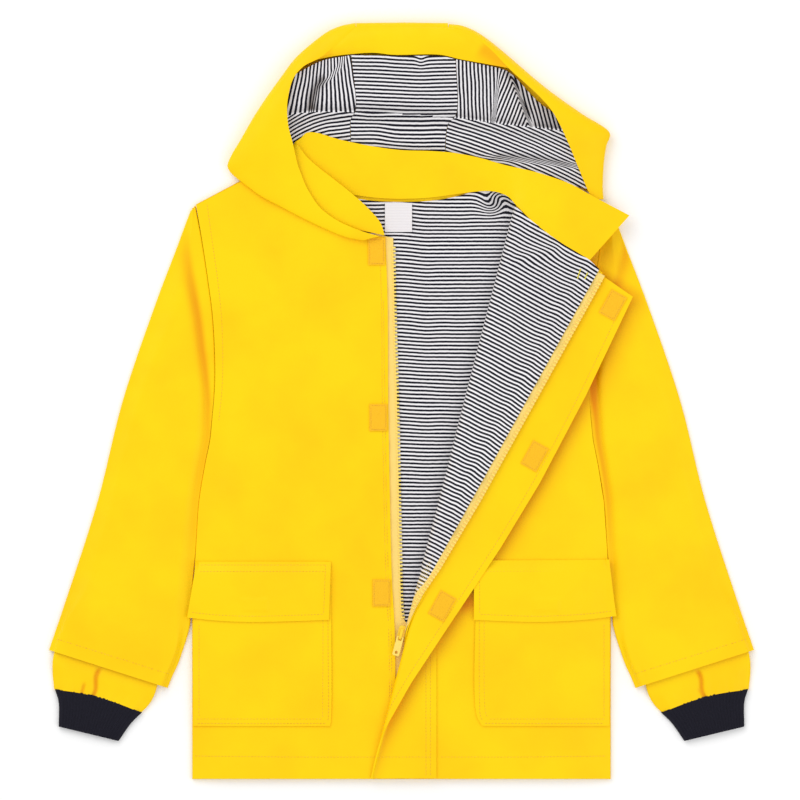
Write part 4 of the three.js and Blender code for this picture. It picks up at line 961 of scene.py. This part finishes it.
for name, flip in (("right", False), ("left", True)):
    place = between(under_outer, under_inner, flip, lambda s, v: -4 * np.sin(np.pi * s) * v + 2 * v)
    down, tops = 40, 110
    rings = tube(place, lambda v: 1.9 * ease((0.75 - v) / 0.3), under_high(flip), down, tops, 30, 1.6)
    u, v = np.linspace(0, 1, tops + 1)[None], np.linspace(0, 1, down + 1)[:, None]
    # Painted shade along the gathers' two deeper creases.
    painted_shade = np.zeros(rings.shape[:2])
    painted_shade[:, :tops + 1] = 0.8 * gathers(u, v, flip)
    if flip:
        rings, painted_shade = rings[:, ::-1], painted_shade[:, ::-1]
    cloth(f"{name}_under_sleeve_cloth", rings, 1.0, yellow, [f"under_sleeve_{name}"],
          cut=around(rings), round_it=True, painted_shade=painted_shade)

# Rib-knit cuffs: navy cotton in one-by-one rib, doubled at the wrist.
# Each is sewn to its gathered under-sleeve and keeps its ribs open there.
RIBS, RIB_DEPTH = 44, 0.7
cuff_outer = [(54.8, 686.4), (58.5, 700), (58.7, 726.6)]
cuff_inner = [(142, 710), (131.4, 721.5), (118.6, 741)]


def rib_knit(name):
    """Cotton rib: matt navy, with small knitted loops along each rib."""
    material, tree = blank(name)
    place = add(tree, "ShaderNodeTexCoord").outputs["Object"]
    loops = add(tree, "ShaderNodeTexVoronoi", {"Scale": 1000 / 1.2}, Vector=place)
    fuzz = add(tree, "ShaderNodeTexNoise", {"Scale": 700.0, "Detail": 3.0}, Vector=place)
    tint = add(tree, "ShaderNodeMix", {"data_type": "RGBA", 6: linear("#100F18"), 7: linear("#1E1D2A")},
               s0=fuzz.outputs[0])
    bump = add(tree, "ShaderNodeBump", {"Strength": 0.6, "Distance": 0.0004}, Height=loops.outputs[0])
    finish(tree,
           {"Roughness": 0.95, "Sheen Weight": 0.08, "Sheen Roughness": 0.5, "Specular IOR Level": 0.2},
           Base_Color=tint.outputs[2], Normal=bump.outputs[0])
    return material


rib = rib_knit("navy cotton rib")
for name, flip in (("right", False), ("left", True)):
    place = between(cuff_outer, cuff_inner, flip, lambda s, v: (2.4 - 4 * np.sin(np.pi * s)) * (1 - v))
    rings = tube(place, lambda v: 0 * v, lambda u, v: 4.2 + 1.2 * np.sin(np.pi * u) * (1 - 0.4 * v), 24,
                 RIBS * 5, RIBS * 5, 2.1, sunk=RIB_DEPTH,
                 relief=lambda s: RIB_DEPTH * (0.5 - 0.5 * np.cos(np.pi * RIBS * s)))
    if flip:
        rings = rings[:, ::-1]
    cloth(f"{name}_cuff_knit", rings, 1.1, rib, [f"rib_cuff_{name}"], cut=around(rings),
          round_it=True)

# Hood: three panels of coated cotton, lying open with its rim up and its back on the surface.
# Each row of a panel runs from the rim over the outside, round the edge and back underneath.


def between_rows(table, row):
    """A table read smoothly at places between its rows."""
    slope = np.gradient(table, axis=0)
    k = np.minimum(row.astype(int), len(table) - 2)
    s = (row - k)[:, None]
    leave = (2 * s**3 - 3 * s**2 + 1) * table[k] + (s**3 - 2 * s**2 + s) * slope[k]
    return leave + (3 * s**2 - 2 * s**3) * table[k + 1] + (s**3 - s**2) * slope[k + 1]


def hood_rows(table, count):
    """A hood panel's grid: rim, outer edge, underside and hidden end in each row, smooth along the rim."""
    r = between_rows(np.array(table, float), np.linspace(0, len(table) - 1, count))
    rim, rim_z, out, out_z, under_z, end = r[:, :2], r[:, 2], r[:, 3:5], r[:, 5], r[:, 6], r[:, 7:9]
    reach = np.linalg.norm(end - out, axis=1)
    turn = np.minimum(np.minimum(0.7 * (out_z - under_z), reach * 0.6), 6) / reach
    columns = []
    for a in np.linspace(0, 1, 17) * np.pi / 2:
        high = out_z + (rim_z - out_z) * np.cos(a)
        columns.append(np.column_stack([rim + (out - rim) * np.sin(a), high]))
    for a in np.linspace(0, 1, 6)[1:] * np.pi / 2:
        share = (turn * (1 - np.cos(a)))[:, None]
        high = under_z + (out_z - under_z) * (1 - np.sin(a))
        columns.append(np.column_stack([out + (end - out) * share, high]))
    for q in np.linspace(0, 1, 15)[1:]:
        share = (turn + (1 - turn) * q)[:, None]
        columns.append(np.column_stack([out + (end - out) * share, under_z]))
    return np.stack(columns, axis=1)


hood_right = hood_rows([
    (355.6, 26.8, 15.4, 355.6, 22.9, 8, 0, 355.4, 58), (347, 34.6, 18.4, 341, 25.8, 9, 0, 355.2, 100),
    (335, 45.6, 20.5, 327, 32, 9.5, 0, 354.6, 140), (320, 57.6, 21.8, 311, 44, 10, 0, 353.4, 176),
    (304, 66, 22.8, 295, 58.5, 10, 0, 350.6, 190), (293, 79, 23.5, 281, 77, 10, 0, 334, 184.2),
    (288, 98, 24, 266, 98, 10, 0, 317, 172), (287.2, 112, 23.5, 253, 118, 10, 0, 301, 151.5),
    (288.6, 127, 22.5, 241, 139, 10, 0, 296.5, 147.2), (292.5, 142, 21, 232, 154, 9.5, 0, 284, 156.4),
    (295, 153, 19.5, 227.5, 165, 9, 0, 270, 163.8), (297.5, 164, 18, 229.5, 171, 8.6, 0, 257, 170.8),
    (300, 171, 17.2, 233.6, 175.6, 8.6, 0.6, 250, 172), (303, 179, 16.6, 239.6, 180.6, 9.6, 5.6, 247, 175),
    (306, 186, 16.2, 250, 188.5, 10.4, 6.8, 256, 183.6), (311, 195, 15.8, 262, 197, 11, 7.3, 267, 192),
    (317, 204, 15.4, 280, 206.5, 11, 7.3, 284, 201), (325, 212, 15, 300, 217, 11, 7.3, 304, 212),
    (340, 222, 14.4, 324, 228.5, 11, 7.3, 328, 224.5), (360, 230.5, 13.8, 345, 237, 11, 7.3, 348.5, 233),
    (379, 236.2, 13, 362.6, 240.6, 11, 7.3, 365.8, 237.6)], 190)
hood_left = hood_rows([
    (448.8, 26.8, 15.4, 448.8, 23.9, 8, 0, 448.8, 58), (462, 30, 18.4, 464, 26.2, 9, 0, 449.6, 104),
    (477, 38.5, 20.4, 481, 34.5, 9.5, 0, 450.2, 148), (492, 50.5, 21.6, 500, 49, 10, 0, 452, 188),
    (509, 68.5, 22.4, 521, 67, 10, 0, 461, 187.6), (529, 86.5, 22.6, 541, 84, 10, 0, 482, 174.6),
    (541, 98, 22.4, 560, 98.5, 10, 0, 499, 154.4), (552, 111, 22, 583, 114.5, 10, 0, 507, 148.2),
    (561, 127, 21, 608.8, 131.4, 9.5, 0, 517, 154.4), (570, 147, 18.4, 606.4, 146, 9, 0, 531, 161.8),
    (576, 162, 15.6, 604.2, 160, 8.4, 0, 546, 169.8), (581, 174, 13.4, 603.2, 173, 7.8, 0, 561, 177.6),
    (585.5, 185, 11.8, 602.8, 185, 7.2, 0, 575, 185), (589, 193, 11.2, 603, 193, 7, 0, 588, 191.8),
    (592, 199, 10.8, 603.6, 199.4, 7, 0, 596.6, 196.4)], 150)
u = np.linspace(0, 1, 40)
seam = np.abs(2 * u - 1)
hood_middle = hood_rows(np.column_stack([
    356.1 + 91.8 * u, 26.8 + 0 * u, 15.4 + 0 * u, 356.1 + 91.8 * u, 22.5 + 0.5 * seam, 8 + 0 * u, 0 * u,
    355.2 + 93.4 * u, 197 - 7 * seam**2]), 50)


def row_cut(grid, taper):
    """The flat cut of a hood panel: its rim across and each row's length down."""
    across = lengths(grid[:, 12])
    along = np.concatenate([np.zeros((len(grid), 1)),
                            np.cumsum(np.linalg.norm(np.diff(grid, axis=1), axis=2), axis=1)], axis=1)
    share = across[:, None] * (1 - taper + taper * np.exp(-along / 160))
    return np.dstack([share, along])


for name, grid, node, taper in (("hood_right_side", hood_right[:, ::-1], "hood_side_right", 0.45),
                                ("hood_left_side", hood_left, "hood_side_left", 0.45),
                                ("hood_middle", hood_middle, "hood_centre", 0)):
    cloth(f"{name}_cloth", grid, SHELL, yellow, [node], cut=row_cut(grid, taper))

# Facing: a strip of the coated cotton inside the hood's front edge.
# It is sewn to the rim on one side and to the lining on the other, and lies in soft puckers.
facing = patch(line((355.6, 26.8, 15.3), (380, 26.5, 15.6), (425, 26.5, 15.6), (448.8, 26.8, 15.3)),
               line((306, 64.8, 22), (316, 60, 20.6), (330, 56.8, 18.4), (350, 54.2, 17), (374, 52.8, 16.8),
                    (393, 54.8, 16.8), (440, 54.8, 16.8), (460, 59.2, 18), (480, 62.8, 20),
                    (508, 68, 22.2)),
               line((355.6, 26.8, 15.3), (347, 34.6, 18.3), (335, 45.6, 20.4), (320, 57.6, 21.6),
                    (306, 64.8, 22)),
               line((448.8, 26.8, 15.3), (462, 30, 18.3), (477, 38.5, 20.3), (492, 50.5, 21.5),
                    (508, 68, 22.2)),
               90, 24)
x, y = facing[..., 0], facing[..., 1]
v = np.linspace(0, 1, 25)[:, None]
u = np.linspace(0, 1, 91)[None]
inside = np.sin(np.pi * v) * ease(u * 7) * ease((1 - u) * 7)
# Painted shade in the facing's two corners, where it meets the rim.
corners_shade = (0.55 * crease(x, y, [(298, 68), (306, 58), (318, 50), (332, 44)], 9)
                 + 0.5 * crease(x, y, [(478, 46), (490, 54), (500, 62), (510, 70)], 9))
facing_high = facing[..., 2] + inside * (1.4 - 0.3 * np.sin(u * 19) + 0.35 * swell(x, y, 17, 51))
facing_high -= 0.9 * crease(x, y, [(470, 36), (480, 46), (486, 58)], 3.5) * inside
facing_high -= 0.8 * crease(x, y, [(330, 47), (338, 52), (346, 54)], 4) * inside
cloth("hood_facing_cloth", raised(facing[..., :2], facing_high), JERSEY, yellow, ["hood_facing"],
      cut=facing[..., :2], painted_shade=corners_shade)

# Hood lining: striped jersey in a middle panel and two side panels, with one loose fold across
# below the crown, so the stripes run level in the middle and fan out at the sides.


def fold_down(x):
    """How far down the sheet the loose fold crosses the lining."""
    return np.interp(x, [288, 298, 318, 370, 402, 440, 466, 494, 531, 590],
                     [114.5, 112.4, 110.8, 111.2, 113, 115.6, 118, 121.8, 126.8, 133])


def bowl(x, y):
    """How high the lining lies in the open hood."""
    d = y - fold_down(x)
    crest = np.where(d < 0, np.exp(-((d / 22) ** 2)), np.exp(-((d / 9) ** 2)))
    crown = 12.6 * ease((112 - y) / 62)
    cheek = 5 * ease((310 - x) / 44) * ease((140 - y) / 30)
    cheek = cheek + 5 * ease((x - 540) / 40) * ease((190 - y) / 40)
    low = 3.3 + 1.4 * ease((188 - y) / 40)
    soft = 0.5 * swell(x, y, 24, 61) + 0.25 * swell(x, y, 10, 62)
    slant = 1.4 * crease(x, y, [(500, 80), (503, 100), (505, 118)], 5)
    slant = slant - 1.2 * crease(x, y, [(506, 66), (516, 84), (525, 104), (530, 122)], 4)
    over = 0.7 * ease((y - 160) / 10) * ease((x - 440) / 20)
    over = over + 4.2 * ease((x - 514) / 20) * ease((y - 140) / 26)
    return low + crown + 7.5 * crest + cheek + soft * ease((y - 58) / 12) + slant + over + 0.3


def stripe_cut(grid, above, below):
    """UV of each face's corners, from one rule above the loose fold and another below it."""
    x, y = np.moveaxis(grid.reshape(-1, 2)[grid_faces(*grid.shape[:2])], -1, 0)
    upper = (y.mean(1) < fold_down(x.mean(1)) + 1)[:, None, None]
    return np.where(upper, np.stack(above(x, y), -1), np.stack(below(x, y), -1))


def middle_above(x, y):
    """Stripes sag a little in the middle and pucker once at the facing's seam."""
    sag = 1.4 * np.exp(-(((x - 415) / 34) ** 2)) + 0.35 * swell(x, y, 20, 91)
    pucker = 2.2 * np.exp(-(((x - 421) / 4.5) ** 2)) * ease((74 - y) / 16)
    return x, y - 0.015 * (x - 400) - sag - pucker


def middle_below(x, y):
    """The stripes follow the collar's top edge as they near it."""
    step = 2.6 * ease((x - 372) / 30) * ease((y - 114) / 24)
    return x, y - 0.01 * (x - 400) - step - 0.7 * swell(x, y, 22, 92)


def right_above(x, y):
    """Stripes fan down from a place above the panel and crowd together at a loose fold."""
    away = np.arctan2(y + 64, x - 328.4)
    fold = x - np.interp(y, [56, 66, 78, 86, 110], [344, 340, 330, 318, 312])
    return np.hypot(x - 328.4, y + 64), away * 145 - 5 * ease((fold + 4) / 8) + 0.5 * swell(x, y, 16, 93)


def right_below(x, y):
    """Stripes climb from the rim and level out at the seam."""
    left = np.clip(350 - x, 0, 70) / 62
    return x, y - 6.2 * left - 14.9 * left**2.5 + 0.5 * swell(x, y, 18, 94)


def left_above(x, y):
    """Upright stripes, slanting between two loose folds."""
    first, second = 497 + (70 - y) * 0.12, 509 + (y - 69) * 0.385
    slant = -0.42 * ease((x - first) / 5) + 0.66 * ease((x - second + 2) / 4)
    return y, x - (0.03 + slant) * (y - 70) + 0.5 * swell(x, y, 17, 95)


def left_below(x, y):
    """Stripes slope down from the seam and crowd together along one slanting fold."""
    fold = y - 157.5 - (x - 490) * 0.1
    crowded = 8 * ease((fold + 4) / 7) * ease((x - 474) / 40)
    slope = 0.29 * (x - 446) + 0.0009 * (x - 446) ** 2
    return x, y - slope + crowded + 0.4 * swell(x, y, 19, 96)


panels = (
    ("middle", "hood_lining_centre",
     patch(line((351.4, 55.2), (400, 56), (440, 56.2), (455.6, 59.2)),
           line((353.6, 188), (401, 193.6), (445, 188.6)),
           line((351.4, 55.2), (355.8, 110), (351, 120), (351, 137), (353.6, 188)),
           line((455.6, 59.2), (456, 114), (448, 124), (445, 150), (445, 188.6)), 60, 90),
     middle_above, middle_below, (0.108, 0.145, 0.0148)),
    ("right", "hood_lining_right",
     patch(line((303, 70), (322, 60.8), (350.9, 55.2)), line((297, 163), (322, 173), (352.9, 187)),
           line((303, 70), (282, 84), (268, 110), (264, 138), (297, 163)),
           line((350.9, 55.2), (355.3, 110), (350.5, 120), (350.4, 137), (352.9, 187)), 60, 90),
     right_above, right_below, (0.1, 0.14, 0.0088)),
    ("left", "hood_lining_left",
     patch(line((456.2, 59.4), (480, 64), (505, 70.2), (514, 76)),
           line((445.6, 188.2), (474, 184), (506, 172.5), (530, 176.5), (556, 182), (590, 189.5)),
           line((456.2, 59.4), (456.6, 114), (448.6, 124), (445.6, 150), (445.6, 188.2)),
           line((514, 76), (541, 104), (572, 124), (586, 146), (590, 189.5)), 90, 90),
     left_above, left_below, (0.15, 0.14, 0.0145)))
for name, node, grid, above, below, flat in panels:
    x, y = grid[..., 0], grid[..., 1]
    # Painted shade: darker just above the loose fold, along folds at the two sides and along a slanting
    # fold low on the left panel.
    behind = fold_down(x) - y
    shade = 0.5 * ease(behind / 1.5) * np.exp(-behind / 5)
    shade += 0.75 * crease(x, y, [(326, 74), (316, 88), (312, 100), (311, 114)], 5) * ease((behind + 1) / 2)
    shade += 0.45 * crease(x, y, [(505, 66), (516, 84), (525, 104), (530, 122)], 5) * ease((behind + 1) / 2)
    shade += 0.35 * ease(behind / 2) * ease((x - 522) / 26)
    shade += 0.45 * crease(x, y, [(486, 158), (505, 156), (535, 158), (560, 162), (580, 167)], 3.5)
    cloth(f"hood_lining_{name}_cloth", raised(grid, bowl(x, y)), JERSEY - 0.2, jersey, [node],
          cut=stripe_cut(grid, above, below), flat=flat,
          painted_shade=np.clip(shade, 0, 1))

# Stand collar: coated cotton, doubled, sewn into the neck seam with the hood.
# At the wearer's right it turns over on itself, so its outside shows there and its inside elsewhere.
COLLAR_WIDTH = 48
# Each row across the collar: a place on the neck seam, then one on the free edge.
collar_rows = np.array([
    (354, 228.6, 8.2, 384.6, 235.4, 9.2), (336, 221, 8.2, 380, 222, 9.8), (321, 212.6, 8.3, 366, 206, 10.2),
    (308, 205.4, 8.4, 350, 192, 10.6), (295, 199, 8.5, 335, 180, 10.9), (283, 192, 8.6, 320, 168.5, 11.1),
    (275, 186, 8.6, 307, 157, 11.2), (271, 182, 8.6, 300, 147.6, 11.2),
    (268.6, 180.6, 7.9, 297.2, 144.4, 10.6), (267.6, 180, 6.8, 296.2, 143, 9.4),
    (268.8, 179.6, 5.6, 297.4, 141.6, 8.2), (273, 179.4, 4.9, 301, 138, 7.6),
    (288, 181, 4.8, 307, 132.6, 8.0), (308, 184.6, 4.8, 318, 133, 8.8), (328, 189.6, 4.8, 333, 137.6, 9.4),
    (349, 194, 4.8, 346, 141, 10), (375, 197.6, 4.8, 371, 146, 10.4), (401, 198.8, 4.8, 400, 150, 10.8),
    (430, 197.6, 4.8, 430, 151, 11), (460, 193.6, 4.9, 455, 153, 11.2), (488, 191, 5.2, 480, 158, 11.6),
    (506, 195.4, 8.6, 505, 165, 12.2), (516.6, 205.6, 16, 530, 170.5, 13),
    (530.6, 219.8, 18.9, 552, 177, 14.4), (546, 232, 18.7, 572, 184.6, 15.6),
    (561.6, 243, 18.2, 589, 194, 16.2), (576.2, 251.8, 17.4, 607, 203.6, 16.8),
    (590, 260, 17, 629.4, 215.4, 17.4)], float)


def collar_grid(count, down):
    """The collar from its front end at the wearer's right, round the neck to the other front end."""
    length = lengths((collar_rows[:, :3] + collar_rows[:, 3:]) / 2)
    along = np.linspace(0, 1, count) * length[-1]
    r = between_rows(collar_rows, np.interp(along, length, np.arange(len(length))))
    t = np.linspace(0, 1, down + 1)[None, :, None]
    grid = r[:, None, :3] * (1 - t) + r[:, None, 3:] * t
    grid[..., 2] += 0.5 * np.sin(np.pi * t[..., 0])
    cut = np.dstack(np.broadcast_arrays(along[:, None], COLLAR_WIDTH * t[..., 0]))
    return grid, cut


collar, collar_cut = collar_grid(240, 22)
x, y = collar[..., 0], collar[..., 1]
back_part = ease((np.arange(240) / 239 - 0.42) / 0.06)[:, None]
middle = np.sin(np.pi * np.linspace(0, 1, 23))[None]
collar[..., 2] += (0.35 * swell(x, y, 20, 71) + 0.15 * swell(x, y, 8, 72)) * middle * back_part
cloth("collar_cloth", collar, 1.4, yellow, ["collar"], cut=collar_cut)

# Neck label: a damask-woven polyester label, left bare.
# It is sewn inside the neck by its top edge and curls a little at its sides.


def woven_label(name):
    """Damask-woven polyester: pale, soft and slightly shiny, with fine level threads."""
    material, tree = blank(name)
    place = add(tree, "ShaderNodeUVMap", {"uv_map": "cut"}).outputs[0]
    threads = add(tree, "ShaderNodeTexWave", {"Scale": 200.0, "bands_direction": "Y", "Distortion": 0.6},
                  Vector=place)
    tint = add(tree, "ShaderNodeMix", {"data_type": "RGBA", 6: linear("#E2DCDE"), 7: linear("#EFEBEC")},
               s0=threads.outputs[1])
    bump = add(tree, "ShaderNodeBump", {"Strength": 0.3, "Distance": 0.0002}, Height=threads.outputs[1])
    finish(tree, {"Roughness": 0.6, "Sheen Weight": 0.2}, Base_Color=tint.outputs[2],
           Normal=bump.outputs[0])
    return material


label = patch_on(398.5, 217.4, 27, 29, 24, 26)
x, y = label[..., 0], label[..., 1]
label_high = 4.1 + 0.5 * ((x - 398.5) / 13.5) ** 2 * ease((y - 203) / 20) + 0.25 * np.sin((y - 203) / 9)
cloth("neck_label_weave", raised(label, label_high), 0.5, woven_label("damask-woven label"), ["neck_label"])

# Zip slider and pull tab: injection-moulded acetal, in the shapes that the solids give them.
# The tab's bar turns in the slider's bridge; the moulds leave every edge slightly round.
for node, name, body, plastic in (("zip_slider", "slider_moulding", "coat", slider_plastic),
                                  ("zip_pull", "pull_tab_moulding", "pull_tab", pull_plastic)):
    piece = placed(name, bpy.data.objects[node].data.copy())
    bpy.ops.object.mode_set(mode="EDIT")
    bpy.ops.mesh.select_all(action="SELECT")
    bpy.ops.mesh.remove_doubles(threshold=1e-6)
    bpy.ops.mesh.dissolve_limited(angle_limit=math.radians(1))
    bpy.ops.object.mode_set(mode="OBJECT")
    bevel = piece.modifiers.new("soft edges", "BEVEL")
    bevel.width = 0.00028
    bevel.segments = 2
    bevel.limit_method = "ANGLE"
    bevel.angle_limit = math.radians(50)
    bpy.ops.object.modifier_apply(modifier=bevel.name)
    bpy.ops.object.shade_smooth_by_angle(angle=math.radians(35))
    piece.data.materials.clear()
    piece.data.materials.append(plastic)
    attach(piece, body)
    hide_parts(node)

# Floor: plain white paper under the coat, a little below it.
# It is only there to catch the soft shadows.
bpy.ops.object.select_all(action="DESELECT")
bpy.ops.mesh.primitive_plane_add(size=6, location=(0, 0, -0.0006))
floor = bpy.context.object
floor.name = "floor"
bpy.ops.object.transform_apply(location=True, rotation=True, scale=True)
floor_paint, tree = blank("white paper")
finish(tree, {"Base Color": linear("#FFFFFF"), "Roughness": 0.9, "Specular IOR Level": 0.1})
floor.data.materials.append(floor_paint)

# Light and camera: a large soft light from above one side of the hood, and a weaker one across.
# The camera looks straight down, as the coat was laid out on the sheet.
world = bpy.data.worlds.new("studio")
bpy.context.scene.world = world
world.use_nodes = True
bpy.context.scene.view_settings.view_transform = "Standard"
world.node_tree.nodes["Background"].inputs[0].default_value = (1, 1, 1, 1)
world.node_tree.nodes["Background"].inputs[1].default_value = 0.8
for name, place, size, power in (("key", (-1.2, 1.5, 1.9), 2.2, 21), ("fill", (1.3, -0.6, 2.0), 1.6, 8)):
    light = bpy.data.lights.new(name, "AREA")
    light.shape = "DISK"
    light.size = size
    light.energy = power
    lamp = bpy.data.objects.new(name, light)
    bpy.context.scene.collection.objects.link(lamp)
    lamp.location = place
    aim = -lamp.location
    lamp.rotation_euler = aim.to_track_quat("-Z", "Y").to_euler()
camera = bpy.data.cameras.new("camera")
camera.type = "ORTHO"
camera.ortho_scale = 0.8
eye = bpy.data.objects.new("camera", camera)
bpy.context.scene.collection.objects.link(eye)
eye.location = (-0.0015, 0.0008, 2.5)
bpy.context.scene.camera = eye
